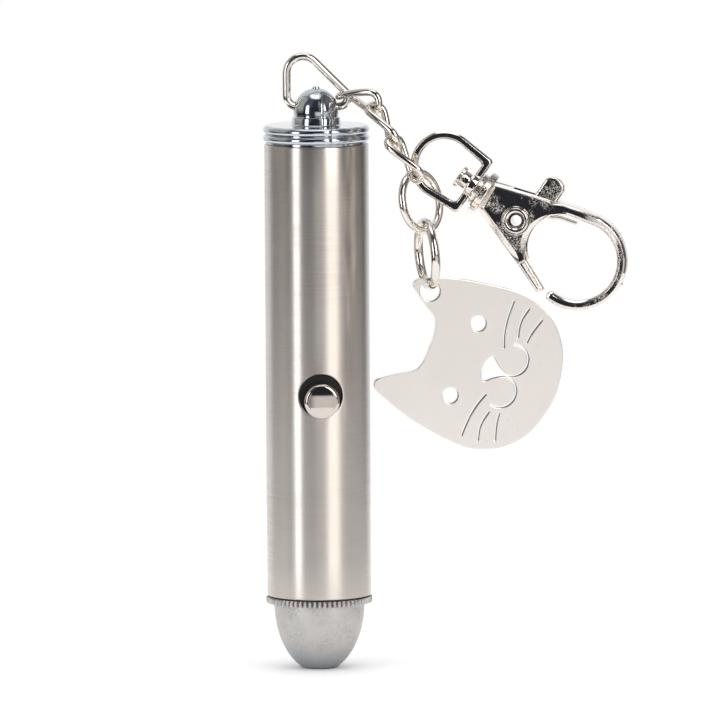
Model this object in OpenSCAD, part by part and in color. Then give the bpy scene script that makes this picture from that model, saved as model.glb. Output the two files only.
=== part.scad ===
// Key-chain cat laser pointer: barrel, laser module, cells, chain, cat charm and swivel clasp.
// Millimetres. Z runs up the barrel axis, the nose tip's flat face is at Z = 0,
// the button faces -Y and the chain hangs on the +X side.

/* [Barrel] */
// outside diameter of the barrel tube
tube_d = 14; // [13.6:0.1:14.4]
// wall of the barrel tube
tube_wall = 0.8; // [0.7:0.05:0.9]
// length of the barrel tube
tube_len = 61; // [60:0.5:64]

/* [Nose] */
// nose tip to the start of the barrel tube
nose_len = 9.9; // [9.5:0.1:11]
// diameter of the flat face at the nose tip
tip_d = 4.6; // [4:0.1:5.2]
// diameter of the nose under its flange
nose_base_d = 12.2; // [11.6:0.1:12.6]
// diameter of the grip flange
flange_d = 14.3; // [14:0.1:15]
// height of the grip flange
flange_h = 0.85; // [0.7:0.05:1.2]
// diameter of the beam aperture
aperture_d = 3; // [2:0.1:3.4]
// length of the screwed spigots
spigot_len = 4.2; // [3.6:0.1:4.4]
// height of the black gasket ring
gasket_h = 0.2; // [0.15:0.05:0.3]

/* [Rear cap] */
// diameter of the two bead rings
bead_d = 14.3; // [14:0.1:15]
// height of one bead ring
bead_h = 1.1; // [0.9:0.05:1.3]
// height of the plain neck under the beads
neck_h = 0.3; // [0.2:0.05:0.5]
// diameter of the neck
neck_d = 13.5; // [13:0.1:13.8]
// diameter of the domed post
post_d = 6.1; // [5.8:0.1:6.2]
// diameter of the post's foot
foot_d = 6.5; // [6.3:0.1:7]
// height of the post's foot
foot_h = 1.1; // [0.8:0.1:1.4]
// cylinder between foot and dome
post_h = 0.8; // [0.6:0.1:1.2]
// hole across the post for the triangle ring
bail_hole_d = 1.6; // [1.4:0.1:1.8]
// height of that hole over the dome's centre
bail_hole_up = 0.55; // [0.5:0.05:0.8]

/* [Button] */
// diameter of the push button
button_d = 4.72; // [4.4:0.02:4.9]
// diameter of the button's hole in the tube
button_hole_d = 5.86; // [5.7:0.02:6.1]
// height of the hole over the nose tip
button_hole_z = 37.5; // [36:0.1:39]
// how far the button sits below the middle of its hole
button_droop = 0.48; // [0.1:0.01:0.5]
// how far the button's edge stands out of the tube
button_out = 2.8; // [2:0.1:3.2]
// height of the dome on the button
button_dome = 0.3; // [0.2:0.05:0.4]
// retaining flange of the button
button_flange_d = 6.4; // [6:0.1:6.6]
// travel of the button
button_travel = 0.5; // [0.3:0.05:0.6]

/* [Laser module] */
// outside diameter of the brass module
module_d = 9; // [8.6:0.1:9.4]
// length of the brass module
module_len = 12.3; // [12:0.1:12.6]
// bore for lens and lens spring
lens_bore_d = 6.8; // [6.6:0.1:7]
// diameter of the diode's base
diode_base_d = 5.6; // [5.5:0.05:5.7]
// diameter of the diode's can
diode_can_d = 3.6; // [3.4:0.1:3.8]
// wire of the lens spring
lens_spring_wire = 0.4; // [0.3:0.05:0.45]

/* [Board and cells] */
// width of the circuit board
board_w = 10.4; // [9:0.1:10.8]
// length of the circuit board
board_len = 15; // [14:0.1:16]
// thickness of the circuit board
board_t = 1; // [0.8:0.1:1.2]
// side of the square switch body
switch_w = 6; // [5.6:0.1:6.2]
// diameter of one button cell
cell_d = 11.6; // [11.4:0.05:11.6]
// height of one button cell
cell_h = 5.4; // [5.2:0.05:5.4]
// room for the contact spring behind the cells
spring_room = 4; // [3.6:0.1:4.6]
// wire of the contact spring
contact_wire = 0.5; // [0.4:0.05:0.6]

/* [Chain] */
// wire of the triangle ring
bail_wire = 1.1; // [0.9:0.05:1.15]
// wire of the chain links
link_wire = 1; // [0.9:0.05:1]
// middle line of a link from end to end
link_len = 6.8; // [6.6:0.05:7]
// half width of a link's middle line
link_half = 1.45; // [1.4:0.05:1.5]
// twist of a link from end to end
link_twist = 90; // [85:1:95]
// middle line radius of the jump ring
jump_r = 4; // [3.95:0.01:4.05]
// wire of the jump ring
jump_wire = 1.05; // [1:0.01:1.06]
// middle line radius of the charm ring
charm_ring_r = 4.32; // [4.25:0.01:4.38]
// wire of the charm ring
charm_ring_wire = 1.22; // [1.16:0.01:1.25]

/* [Charm] */
// thickness of the charm plate
charm_t = 0.9; // [0.8:0.05:1]
// diameter of the ring hole in the ear
ear_hole_d = 2.8; // [2.7:0.02:2.9]
// diameter of an eye
eye_d = 2.2; // [2:0.1:2.4]
// half distance between the eyes
eye_half = 5.17; // [5:0.05:5.3]
// width of the whisker and mouth slits
slit_w = 0.28; // [0.22:0.02:0.32]
// radius of a mouth curve
mouth_r = 2.15; // [2:0.05:2.2]

/* [Clasp] */
// outside half width of the swivel eye's bow
eye_bow_r = 4.64; // [4.6:0.02:4.66]
// width of the swivel eye's bar
eye_bar = 1.06; // [1:0.02:1.08]
// thickness of the swivel eye
eye_t = 0.9; // [0.8:0.05:0.9]
// diameter of the swivel stud
stud_d = 1.5; // [1.4:0.05:1.6]
// diameter of the stud's head
stud_head_d = 3.16; // [3:0.02:3.3]
// diameter of the collar by the swivel eye
collar_d = 4.7; // [4.5:0.1:4.9]
// diameter of the claw's flange
claw_flange_d = 6.2; // [6:0.1:6.4]
// thickness of the claw's body
claw_t = 4; // [3.8:0.1:4.2]
// thickness of the claw's hook
hook_t = 2.3; // [2.1:0.1:2.5]
// inside radius of the hook
hook_in_r = 5.38; // [5.3:0.02:5.44]
// outside radius of the hook
hook_out_r = 6.66; // [6.6:0.02:6.7]
// thickness of the gate lever
lever_t = 1.5; // [1.4:0.05:1.6]
// outside diameter of the hollow rivet
rivet_d = 1.84; // [1.8:0.02:1.9]
// hole through the rivet
rivet_hole_d = 1.36; // [1.3:0.02:1.4]
// wire of the gate spring
gate_wire = 0.4; // [0.35:0.05:0.4]

/* [Fits] */
// clearance of turning and sliding fits, on the radius
fit = 0.05; // [0.03:0.01:0.08]
// gap between two wires that hang on each other
wire_gap = 0.06; // [0.04:0.01:0.08]
// slack beside the gate lever, each side
lever_gap = 0.15; // [0.1:0.01:0.2]

/* [Hidden] */
$fn = 64;

steel = [0.74, 0.72, 0.69];
chrome = [0.82, 0.83, 0.85];
nickel = [0.80, 0.76, 0.71];
brass = [0.80, 0.66, 0.34];
black = [0.10, 0.10, 0.11];

// barrel and its inner stack
tube_ir = tube_d / 2 - tube_wall;
tube_top = nose_len + tube_len;
spigot_r = tube_ir - fit;
flange_top = nose_len - gasket_h;
flange_low = flange_top - flange_h;
button_z = button_hole_z - button_droop;
button_edge_y = -(tube_d / 2 + button_out);
module_low = flange_top + spigot_len + 0.8;
module_top = module_low + module_len;
lip_low = module_low + 7.2;
lip_top = lip_low + 0.6;
nut_low = module_low + 0.5;
nut_h = 1.2;
lens_low = nut_low + nut_h + 0.02;
lens_h = 1.8;
board_low = module_top + 0.2;
board_top = board_low + board_len;
board_y = 0.3;
switch_front = -3.1;
plunger_d = 3.5;
plunger_front = -3.7;
cap_roof = tube_top - 0.6;
cells_top = cap_roof - spring_room;
cells_low = cells_top - 3 * cell_h;
spring_low = cells_top + 0.02;
spring_top = cap_roof - 0.02;
coil_turns = 3.6;

// rear cap
bead_low = tube_top + neck_h;
cap_top = bead_low + 2 * bead_h;
dome_z = cap_top + foot_h + post_h;
bail_z = dome_z + bail_hole_up;

// triangle ring, corners of its middle line over the hole's axis
bail_left = [-3.94, 0];
bail_peak = [-3.94, 9.89];
bail_right = [5.95, 0];
bail_left_bend = 1.6;
bail_peak_bend = 2.2;
bail_right_bend = 1.2;

// vectors
function unit(v) = v / norm(v);
function across(v, along) = unit(v - (v * along) * along);

// links: direction of each, and where on its end loop the next one hangs
first_way = unit([0.689, -0.719, -0.095]);
second_way = unit([0.409, -0.532, -0.741]);
third_way = unit([0.553, -0.228, -0.802]);
second_at = 40;
third_at = 90;
jump_at = 47;
hang = link_wire + wire_gap;
link_straight = link_len - 2 * link_half;
link_round = PI * 2 * link_half + 2 * link_straight;

// triangle ring's wire where the first link hangs on it
bail_in = unit(unit(bail_left - bail_right) + unit(bail_peak - bail_right));
bail_half = acos(unit(bail_left - bail_right) * bail_in);
bail_mid = bail_right + bail_in * bail_right_bend / sin(bail_half);
bail_touch = [bail_mid[0] + bail_right_bend, 0, bail_z + bail_mid[1]];
bail_tangent = [0, 0, 1];

// a link: start, direction, tangent of the wire that it hangs on
first_side = across(bail_tangent, first_way);
first_start = bail_touch - first_way * ((bail_wire + link_wire) / 2 + wire_gap);
function loop_mid(start, way) = start + way * (link_len - link_half);
function loop_point(start, way, side, at) =
    link_middle(start, way, side, link_straight + link_half * PI * (180 - at) / 180);
function loop_tangent(start, way, side, at) =
    unit(loop_point(start, way, side, at + 0.5) - loop_point(start, way, side, at - 0.5));

second_touch = loop_point(first_start, first_way, first_side, second_at);
second_tangent = loop_tangent(first_start, first_way, first_side, second_at);
second_side = across(second_tangent, second_way);
second_start = second_touch - second_way * hang;

third_touch = loop_point(second_start, second_way, second_side, third_at);
third_tangent = loop_tangent(second_start, second_way, second_side, third_at);
third_side = across(third_tangent, third_way);
third_start = third_touch - third_way * hang;

jump_touch = loop_point(third_start, third_way, third_side, jump_at);
jump_tangent = loop_tangent(third_start, third_way, third_side, jump_at);

// jump ring: its wire lies on the inside of the third link's end loop
jump_turn = 49;
jump_v = unit([-0.23, 0.0225, 0.9725]);
jump_u = across([cos(jump_turn), sin(jump_turn), 0], jump_v);
jump_wire_point = jump_touch + unit(loop_mid(third_start, third_way) - jump_touch)
    * ((link_wire + jump_wire) / 2 + wire_gap + 0.06);
jump_mid = jump_wire_point - jump_r * jump_v;

// charm ring near the lowest point of the jump ring
jump_down = across([-0.077, -0.089, -1], cross(jump_u, jump_v));
jump_low = jump_mid + jump_r * jump_down;
charm_ring_down = unit([0.1, -0.16, -0.98]);
charm_ring_out = across([0.185, -0.973, 0.14], charm_ring_down);
charm_ring_top = jump_low + [0, 0, (jump_wire + charm_ring_wire) / 2 + wire_gap + 0.03];
charm_ring_mid = charm_ring_top + charm_ring_r * charm_ring_down;
charm_ring_low = charm_ring_mid + charm_ring_r * charm_ring_down;

// charm: the ring hole's edge rests on the charm ring
charm_tilt = 21.9;
charm_turn = 5;
ear_hole = [-7.86, 6.92];
charm_hang = ear_hole_d / 2 - charm_ring_wire / 2 - 0.16;
charm_hole_mid = charm_ring_low + [-0.15, 0, -charm_hang];

// clasp: origin on the swivel axis at the head of the stud, x along the axis
clasp_tilt = 35.4;
clasp_yaw = 11;
clasp_from_ring = [5.7728, 1.206, 2.9018];
clasp_origin = jump_mid + clasp_from_ring;
clasp_axis = [cos(clasp_tilt) * cos(clasp_yaw), -cos(clasp_tilt) * sin(clasp_yaw), -sin(clasp_tilt)];
eye_face = 2.02;
stud_gap = 0.1;
pivot = [9.09, -0.2];
hook_mid = [18.84, 0.07];
throat_mid = [16.33, 0];
throat_r = 4.82;
slot_t = lever_t + 2 * lever_gap;
rivet_head_d = 3.1;
boss_d = 4;
boss_h = 0.3;
eye_at = 45;
eye_cross = jump_mid + jump_r * (jump_u * cos(eye_at) + jump_v * sin(eye_at));
eye_tangent = jump_v * cos(eye_at) - jump_u * sin(eye_at);

// charm outline, from the chin round one cheek and ear to the brow
face_edge = [[13.25, 0], [13.08, 1.75], [12.62, 3.77], [11.97, 5.66], [10.74, 7.56], [9, 9.2],
    [7, 10.25], [4.85, 10.87], [2.69, 10.95], [0, 10.66], [-2.96, 10.2], [-5.38, 9.64],
    [-7.54, 8.96], [-9.26, 8.3], [-10.16, 7.68], [-10.34, 7.1], [-10.04, 6.5], [-9.05, 5.75],
    [-7.58, 4.78], [-6.45, 4.12], [-5.7, 3.45], [-5.34, 2.56], [-5.18, 1.35], [-5.18, 0]];
nose_cut = [[3.3, 1.85], [2.75, 1.2], [2.5, 0], [2.75, -1.2], [3.3, -1.85], [3.75, -1.6],
    [4.4, -1], [5.2, -0.5], [6, -0.15], [6, 0.15], [5.2, 0.5], [4.4, 1], [3.75, 1.6]];
whiskers = [[[3.23, 9.69], [3.27, 7.8], [3.43, 6.2], [3.77, 4.7], [4.27, 3.3]],
    [[5.56, 9.5], [5.2, 7.94], [5.25, 6.6], [5.56, 5.3]],
    [[7.74, 8.68], [7.34, 7.4], [7.07, 6.33], [6.93, 5.05]]];

// smooth curve through points, four steps for each span
function blend(a, b, c, d, t) = 0.5 * (2 * b + (c - a) * t + (2 * a - 5 * b + 4 * c - d) * t * t
    + (3 * b - a - 3 * c + d) * t * t * t);
function curve(p, first, last, steps = 4) = [for (i = [0 : len(p) - 2]) for (k = [0 : steps - 1])
    blend(i == 0 ? first : p[i - 1], p[i], p[i + 1],
        i == len(p) - 2 ? last : p[i + 2], k / steps)];
function flip(p) = [p[0], -p[1]];

// a tube from rings of points: path point, two directions across it
function ring_at(p, n, b, r, sides) =
    [for (j = [0 : sides - 1]) p + r * (n * cos(360 * j / sides) + b * sin(360 * j / sides))];
module tube_from(rings, closed) {
    n = len(rings);
    m = len(rings[0]);
    last = closed ? n - 1 : n - 2;
    sides = [for (i = [0 : last]) for (j = [0 : m - 1])
        let (a = i * m + j, b = i * m + (j + 1) % m,
            c = ((i + 1) % n) * m + (j + 1) % m, d = ((i + 1) % n) * m + j)
        each [[a, c, b], [a, d, c]]];
    ends = closed ? [] : [[for (j = [0 : m - 1]) j], [for (j = [m - 1 : -1 : 0]) (n - 1) * m + j]];
    polyhedron([for (r = rings) each r], concat(sides, ends), convexity = 8);
}

// middle line of a link: an oval whose width direction turns along its length
function oval(s) =
    let (q = link_half * PI, a = link_straight)
    s < a ? [link_half + s, link_half]
    : s < a + q ? [link_half + a + link_half * sin((s - a) / q * 180),
        link_half * cos((s - a) / q * 180)]
    : s < 2 * a + q ? [link_half + a - (s - a - q), -link_half]
    : [link_half - link_half * sin((s - 2 * a - q) / q * 180),
        -link_half * cos((s - 2 * a - q) / q * 180)];
function turned(way, side, at) = side * sin(at) + cross(way, side) * cos(at);
function link_middle(start, way, side, s) =
    let (o = oval(s), at = link_twist * o[0] / link_len)
    start + way * o[0] + o[1] * turned(way, side, at);
function link_rings(start, way, side, count, sides) = [for (i = [0 : count - 1])
    let (s = link_round * i / count, h = link_round / count / 4,
        p = link_middle(start, way, side, s),
        t = unit(link_middle(start, way, side, s + h < link_round ? s + h : s + h - link_round)
            - link_middle(start, way, side, s > h ? s - h : s - h + link_round)),
        at = link_twist * oval(s)[0] / link_len,
        n = across(cross(way, turned(way, side, at)), t))
    ring_at(p, n, cross(t, n), link_wire / 2, sides)];
module link(start, way, side) {
    color(nickel) tube_from(link_rings(start, way, side, 48, 10), true);
}

// helix whose radius runs from r0 to r1 between two heights
function coil_middle(f, r0, r1, z0, z1, turns) =
    let (r = r0 + (r1 - r0) * f)
    [r * cos(360 * turns * f), r * sin(360 * turns * f), z0 + (z1 - z0) * f];
function coil_rings(r0, r1, z0, z1, turns, wire, sides) = [for (i = [0 : turns * 10])
    let (f = i / (turns * 10),
        p = coil_middle(f, r0, r1, z0, z1, turns),
        t = unit(coil_middle(f + 0.004, r0, r1, z0, z1, turns)
            - coil_middle(f - 0.004, r0, r1, z0, z1, turns)),
        n = across([cos(360 * turns * f), sin(360 * turns * f), 0], t))
    ring_at(p, n, cross(t, n), wire / 2, sides)];
function coil_gap(r0, r1, z0, z1, turns, wire) = min([for (i = [0 : 3 : (turns - 1) * 12])
    for (k = [9 : 15])
    norm(coil_middle(i / (turns * 12), r0, r1, z0, z1, turns)
        - coil_middle((i + k) / (turns * 12), r0, r1, z0, z1, turns))]) - wire;

// tube along a flat path in the plane y = depth
function flat_rings(path, depth, wire, sides) = [for (i = [0 : len(path) - 1])
    let (a = path[max(i - 1, 0)], b = path[min(i + 1, len(path) - 1)],
        t = unit([b[0] - a[0], 0, b[1] - a[1]]))
    ring_at([path[i][0], depth, path[i][1]], [0, 1, 0], cross(t, [0, 1, 0]), wire / 2, sides)];

module ring_between(r_out, r_in, z0, z1) {
    translate([0, 0, z0]) difference() {
        cylinder(r = r_out, h = z1 - z0);
        translate([0, 0, -1]) cylinder(r = r_in, h = z1 - z0 + 2);
    }
}

module barrel_tube() color(steel) difference() {
    translate([0, 0, nose_len]) cylinder(d = tube_d, h = tube_len);
    translate([0, 0, nose_len - 1]) cylinder(r = tube_ir, h = tube_len + 2);
    translate([0, 0, button_hole_z]) rotate([90, 0, 0]) cylinder(d = button_hole_d, h = tube_d);
}

// nose radius by height: part of an ellipse that meets the tip's flat face
nose_reach = flange_low / sqrt(1 - pow(tip_d / nose_base_d, 2));
function nose_r(z) = nose_base_d / 2 * sqrt(1 - pow((flange_low - z) / nose_reach, 2));
module nose_cap() color(steel) difference() {
    union() {
        rotate_extrude() polygon(concat([[0, 0]],
            [for (i = [0 : 16]) let (z = flange_low * pow(i / 16, 1.3)) [nose_r(z), z]],
            [[0, flange_low]]));
        translate([0, 0, flange_low]) cylinder(d = flange_d, h = flange_h);
        translate([0, 0, flange_top]) cylinder(r = spigot_r, h = spigot_len);
    }
    translate([0, 0, -1]) cylinder(d = aperture_d, h = 4);
    translate([0, 0, 2]) cylinder(r1 = aperture_d / 2, r2 = 4.4, h = 6);
    translate([0, 0, 7.99]) cylinder(r = 4.4, h = flange_top + spigot_len);
}

module nose_gasket() color(black)
    ring_between(tube_d / 2 - 0.25, spigot_r + fit, flange_top + 0.01, nose_len - 0.01);

module lens_nut() color(brass)
    ring_between(lens_bore_d / 2 - 0.02, 1.9, nut_low, nut_low + nut_h);

module collimating_lens() color([0.8, 0.9, 0.95, 0.6]) translate([0, 0, lens_low]) intersection() {
    cylinder(d = lens_bore_d - 2 * fit, h = lens_h);
    translate([0, 0, lens_h - 6]) sphere(r = 6);
}

lens_spring_low = lens_low + lens_h - 0.45;
lens_spring_top = lip_low - lens_spring_wire / 2 - 0.02;
module lens_spring() color(steel) tube_from(coil_rings(2.85, 2.85,
    lens_spring_low, lens_spring_top, coil_turns, lens_spring_wire, 6), false);

module module_housing() color(brass) difference() {
    translate([0, 0, module_low]) cylinder(d = module_d, h = module_len);
    translate([0, 0, module_low - 1]) cylinder(d = lens_bore_d, h = lip_low - module_low + 1);
    translate([0, 0, module_low]) cylinder(r = 2.3, h = module_len + 1);
    translate([0, 0, lip_top]) cylinder(d = diode_base_d + 0.04, h = module_len);
}

module laser_diode() color([0.78, 0.70, 0.45]) {
    translate([0, 0, lip_top + 0.01]) cylinder(d = diode_base_d, h = 1.3);
    translate([0, 0, lip_top - 2]) cylinder(d = diode_can_d, h = 2.1);
    for (p = [[-1.27, 0.05], [1.27, 0.05], [0, board_y + board_t + 0.25]])
        translate([p[0], p[1], lip_top + 1.2]) cylinder(d = 0.44, h = board_low + 1.4 - lip_top - 1.2);
}

module module_carrier() color(black)
    ring_between(tube_ir - 0.03, module_d / 2 + 0.02, module_low + 0.1, module_top - 1);

module circuit_board() color([0.10, 0.36, 0.20])
    translate([-board_w / 2, board_y, board_low]) cube([board_w, board_t, board_len]);

module board_components() {
    color(black) translate([-1.5, board_y - 1.12, board_low + 3.4]) cube([3, 1.1, 1.4]);
    color(black) translate([1.9, board_y - 0.62, board_low + 3.2]) cube([2, 0.6, 1.25]);
    color([0.75, 0.6, 0.4]) translate([-3.9, board_y - 0.72, board_low + 3.2]) cube([1.6, 0.7, 0.8]);
    color(black) translate([-3.9, board_y - 0.62, button_z - switch_w / 2 - 1.5]) cube([2, 0.6, 1.25]);
}

module switch_body() color(black) difference() {
    translate([-switch_w / 2, switch_front, button_z - switch_w / 2])
        cube([switch_w, board_y - switch_front - 0.01, switch_w]);
    translate([0, switch_front - 1, button_z]) rotate([-90, 0, 0])
        cylinder(d = plunger_d + 2 * fit, h = 2.3);
}

module switch_plunger() color([0.2, 0.2, 0.22])
    translate([0, plunger_front, button_z]) rotate([-90, 0, 0])
        cylinder(d = plunger_d, h = switch_front + 1.2 - button_travel - plunger_front);

// button: a domed head on a shank, with a flange inside the tube
button_dome_r = (pow(button_d / 2, 2) + pow(button_dome, 2)) / (2 * button_dome);
module push_button() color(chrome) translate([0, 0, button_z]) rotate([90, 0, 0]) {
    translate([0, 0, 3.72]) cylinder(d = button_d, h = -button_edge_y - 3.72);
    translate([0, 0, 3.72]) cylinder(d = button_flange_d, h = 1);
    intersection() {
        translate([0, 0, 3.8]) cylinder(d = button_d, h = 12);
        translate([0, 0, -button_edge_y + button_dome - button_dome_r]) sphere(r = button_dome_r);
    }
}

module board_contact() color(brass) {
    translate([0, 0, board_top + 0.02]) cylinder(d = 9, h = 0.5);
    translate([0, 0, board_top + 0.4]) cylinder(d = 3.4, h = cells_low - board_top - 0.42);
}

module battery_sleeve() color([0.85, 0.84, 0.8])
    ring_between(tube_ir - 0.05, cell_d / 2 + 0.08, cells_low - 0.4, cells_top + 0.2);

// a cell: can with a smaller cap on the nose side
module cell(z) color(chrome) {
    translate([0, 0, z + 0.5]) cylinder(d = cell_d, h = cell_h - 0.51);
    translate([0, 0, z]) cylinder(d = cell_d - 2.2, h = 1);
}
module front_cell() cell(cells_low);
module middle_cell() cell(cells_low + cell_h);
module rear_cell() cell(cells_low + 2 * cell_h);

module contact_spring() color(steel) tube_from(coil_rings(2.1, 4.3,
    spring_low + contact_wire / 2, spring_top - contact_wire / 2, coil_turns, contact_wire, 6), false);

module rear_cap() color(chrome) difference() {
    union() {
        translate([0, 0, tube_top - spigot_len]) cylinder(r = spigot_r, h = spigot_len + 0.1);
        translate([0, 0, tube_top + 0.02]) cylinder(d = neck_d, h = cap_top - tube_top - 0.3);
        for (i = [0, 1]) translate([0, 0, bead_low + bead_h * (i + 0.5)]) {
            rotate_extrude() translate([bead_d / 2 - bead_h / 2, 0]) circle(d = bead_h, $fn = 32);
            translate([0, 0, -bead_h / 2]) cylinder(d = bead_d - bead_h, h = bead_h);
        }
        translate([0, 0, cap_top - 0.1]) cylinder(d = foot_d, h = foot_h + 0.1);
        translate([0, 0, cap_top]) cylinder(d = post_d, h = foot_h + post_h);
        translate([0, 0, dome_z]) sphere(d = post_d);
        translate([0, 0, dome_z]) cylinder(d = 0.9, h = post_d / 2 + 0.22);
    }
    translate([0, 0, tube_top - spigot_len - 1]) cylinder(r = 4.9, h = spigot_len + 1 - 0.6);
    translate([-10, 0, bail_z]) rotate([0, 90, 0]) cylinder(d = bail_hole_d, h = 20);
}

// triangle ring: one wire round three bends in the plane of X and Z
function bail_bend_points(p, q, r, bend) =
    let (in = unit(unit(q - p) + unit(r - p)), half = acos(unit(q - p) * in),
        mid = p + in * bend / sin(half), out = atan2(-in[1], -in[0]))
    [for (i = [-4 : 4]) let (at = out - i / 4 * (90 - half))
        [mid[0] + bend * cos(at), 0, bail_z + mid[1] + bend * sin(at)]];
bail_path = concat(bail_bend_points(bail_left, bail_peak, bail_right, bail_left_bend),
    bail_bend_points(bail_peak, bail_left, bail_right, bail_peak_bend),
    bail_bend_points(bail_right, bail_left, bail_peak, bail_right_bend));
bail_count = len(bail_path);
bail_rings = [for (i = [0 : bail_count - 1])
    let (t = unit(unit(bail_path[(i + 1) % bail_count] - bail_path[i])
            + unit(bail_path[i] - bail_path[(i + bail_count - 1) % bail_count])))
    ring_at(bail_path[i], [0, 1, 0], cross(t, [0, 1, 0]), bail_wire / 2, 12)];
module triangle_ring() color(nickel) tube_from(bail_rings, true);

module first_link() link(first_start, first_way, first_side);
module second_link() link(second_start, second_way, second_side);
module third_link() link(third_start, third_way, third_side);

// a ring in the plane of two directions
module wire_ring(mid, u, v, r, wire) {
    w = cross(u, v);
    color(nickel) multmatrix([[u[0], v[0], w[0], mid[0]], [u[1], v[1], w[1], mid[1]],
            [u[2], v[2], w[2], mid[2]], [0, 0, 0, 1]])
        rotate_extrude() translate([r, 0]) circle(d = wire, $fn = 24);
}
module jump_ring() wire_ring(jump_mid, jump_u, jump_v, jump_r, jump_wire);
module charm_ring()
    wire_ring(charm_ring_mid, charm_ring_out, -charm_ring_down, charm_ring_r, charm_ring_wire);

// charm: cat face plate with eyes, nose, mouth curves and whiskers cut through
module slit(p) {
    c = concat(curve(p, 2 * p[0] - p[1], 2 * p[len(p) - 1] - p[len(p) - 2], 3), [p[len(p) - 1]]);
    n = len(c);
    side = [for (i = [0 : n - 1]) let (t = unit(c[min(i + 1, n - 1)] - c[max(i - 1, 0)]))
        [-t[1], t[0]] * slit_w / 2];
    polygon(concat([for (i = [0 : n - 1]) c[i] + side[i]], [for (i = [n - 1 : -1 : 0]) c[i] - side[i]]));
}
module mouth() intersection() {
    difference() {
        circle(r = mouth_r + slit_w / 2, $fn = 48);
        circle(r = mouth_r - slit_w / 2, $fn = 48);
    }
    polygon([[0, 0], [0, 4], [4, 4], [4, -4], [-1.1, -4]]);
}
half_edge = curve(face_edge, [13.08, -1.75], [-5.18, -1.35]);
module cat_face() difference() {
    polygon(concat(half_edge, [[-5.18, 0]], [for (i = [len(half_edge) - 1 : -1 : 1]) flip(half_edge[i])]));
    translate(ear_hole) circle(d = ear_hole_d);
    for (s = [-1, 1]) translate([-0.15, s * eye_half]) circle(d = eye_d);
    polygon(nose_cut);
    for (s = [0, 1]) mirror([0, s]) {
        translate([5.96, -mouth_r - 0.1]) mouth();
        for (w = whiskers) slit(w);
    }
}
module cat_charm() color(nickel) translate(charm_hole_mid) rotate([0, 0, charm_turn])
    rotate([0, charm_tilt, 0]) rotate([90, 0, 0]) translate([-ear_hole[0], -ear_hole[1], 0])
        linear_extrude(height = charm_t, center = true) cat_face();

module on_clasp() translate(clasp_origin) rotate([0, 0, -clasp_yaw]) rotate([0, clasp_tilt, 0]) children();
module plate(t) rotate([90, 0, 0]) linear_extrude(height = t, center = true) children();

// swivel eye: a bow with a straight bar that the stud turns in
eye_bow = [-3, 0];
module eye_outline(r, face, shrink) {
    intersection() {
        translate(eye_bow) circle(r = r);
        translate([-20, -10]) square([20 + eye_bow[0], 20]);
    }
    polygon([[eye_bow[0] - 0.01, r], [face - 0.35, r - 0.28 - shrink], [face, r - 0.6 - shrink],
        [face, -r + 0.6 + shrink], [face - 0.35, -r + 0.28 + shrink], [eye_bow[0] - 0.01, -r]]);
}
module swivel_eye() color(nickel) on_clasp() difference() {
    union() {
        plate(eye_t) difference() {
            eye_outline(eye_bow_r, eye_face, 0);
            eye_outline(eye_bow_r - eye_bar, eye_face - 1.02, 0.1);
        }
        translate([eye_face - 1.02, 0, 0]) rotate([0, 90, 0]) cylinder(r = 1.5, h = 1.02);
    }
    translate([-0.5, 0, 0]) rotate([0, 90, 0]) cylinder(d = stud_d + 2 * fit, h = 4);
}

// claw: swivel stud, flange, two cheeks with a slot for the lever, and the hook
module hook_opening() {
    translate(hook_mid) circle(r = hook_in_r);
    translate(throat_mid) circle(r = throat_r);
    polygon([[throat_mid[0], throat_r], [hook_mid[0], hook_mid[1] + hook_in_r],
        [hook_mid[0], hook_mid[1] - hook_in_r], [throat_mid[0], -throat_r]]);
}
module cheek_outline() difference() {
    polygon([[3.8, 2.15], [12.38, 5.11], [14.2, 5.58], [14.2, 0], [13.33, -3.77], [12.79, -4.91],
        [3.8, -1.9]]);
    hook_opening();
}
module hook_outline() difference() {
    union() {
        polygon([[8, 3.5], [12.38, 5.11], [17.3, 6.5], [18.84, 6.66], [18.84, 0], [12, 0]]);
        difference() {
            translate(hook_mid) circle(r = hook_out_r);
            polygon([[10, 0], [18.84, 0], [18.84, -5.18], [18.04, -6.2], [17.6, -8], [10, -8]]);
        }
    }
    hook_opening();
}
module lever_room() polygon([[6.3, -8], [6.3, 8], [12.25, 8], [12.25, 3.9], [20, 3.9], [20, -8]]);
module clasp_claw() color(nickel) on_clasp() difference() {
    union() {
        translate([-0.74, 0, 0]) rotate([0, 90, 0]) cylinder(d = stud_head_d, h = 0.61);
        translate([-0.2, 0, 0]) rotate([0, 90, 0]) cylinder(d = 2.2, h = 1.2 - stud_gap);
        translate([-0.2, 0, 0]) rotate([0, 90, 0]) cylinder(d = stud_d, h = 3);
        translate([eye_face + stud_gap, 0, 0]) rotate([0, 90, 0]) cylinder(d = collar_d, h = 0.8);
        translate([2.83, 0, 0]) rotate([0, 90, 0]) cylinder(d = claw_flange_d, h = 1.02);
        difference() {
            plate(claw_t) cheek_outline();
            plate(slot_t) lever_room();
        }
        difference() {
            plate(hook_t) hook_outline();
            plate(slot_t) intersection() {
                lever_room();
                translate([0, -10]) square([14.3, 13.9]);
            }
            plate(slot_t) translate([6.3, 0]) square([5.95, 9]);
        }
        for (s = [-1, 1]) translate([pivot[0], s * (claw_t / 2 + boss_h / 2), pivot[1]])
            rotate([90, 0, 0]) difference() {
                cylinder(d = boss_d, h = boss_h + 0.02, center = true);
                cylinder(d = rivet_head_d + 0.1, h = 2, center = true);
            }
    }
    translate([pivot[0], 5, pivot[1]]) rotate([90, 0, 0]) cylinder(d = rivet_d + 0.02, h = 10);
}

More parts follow.
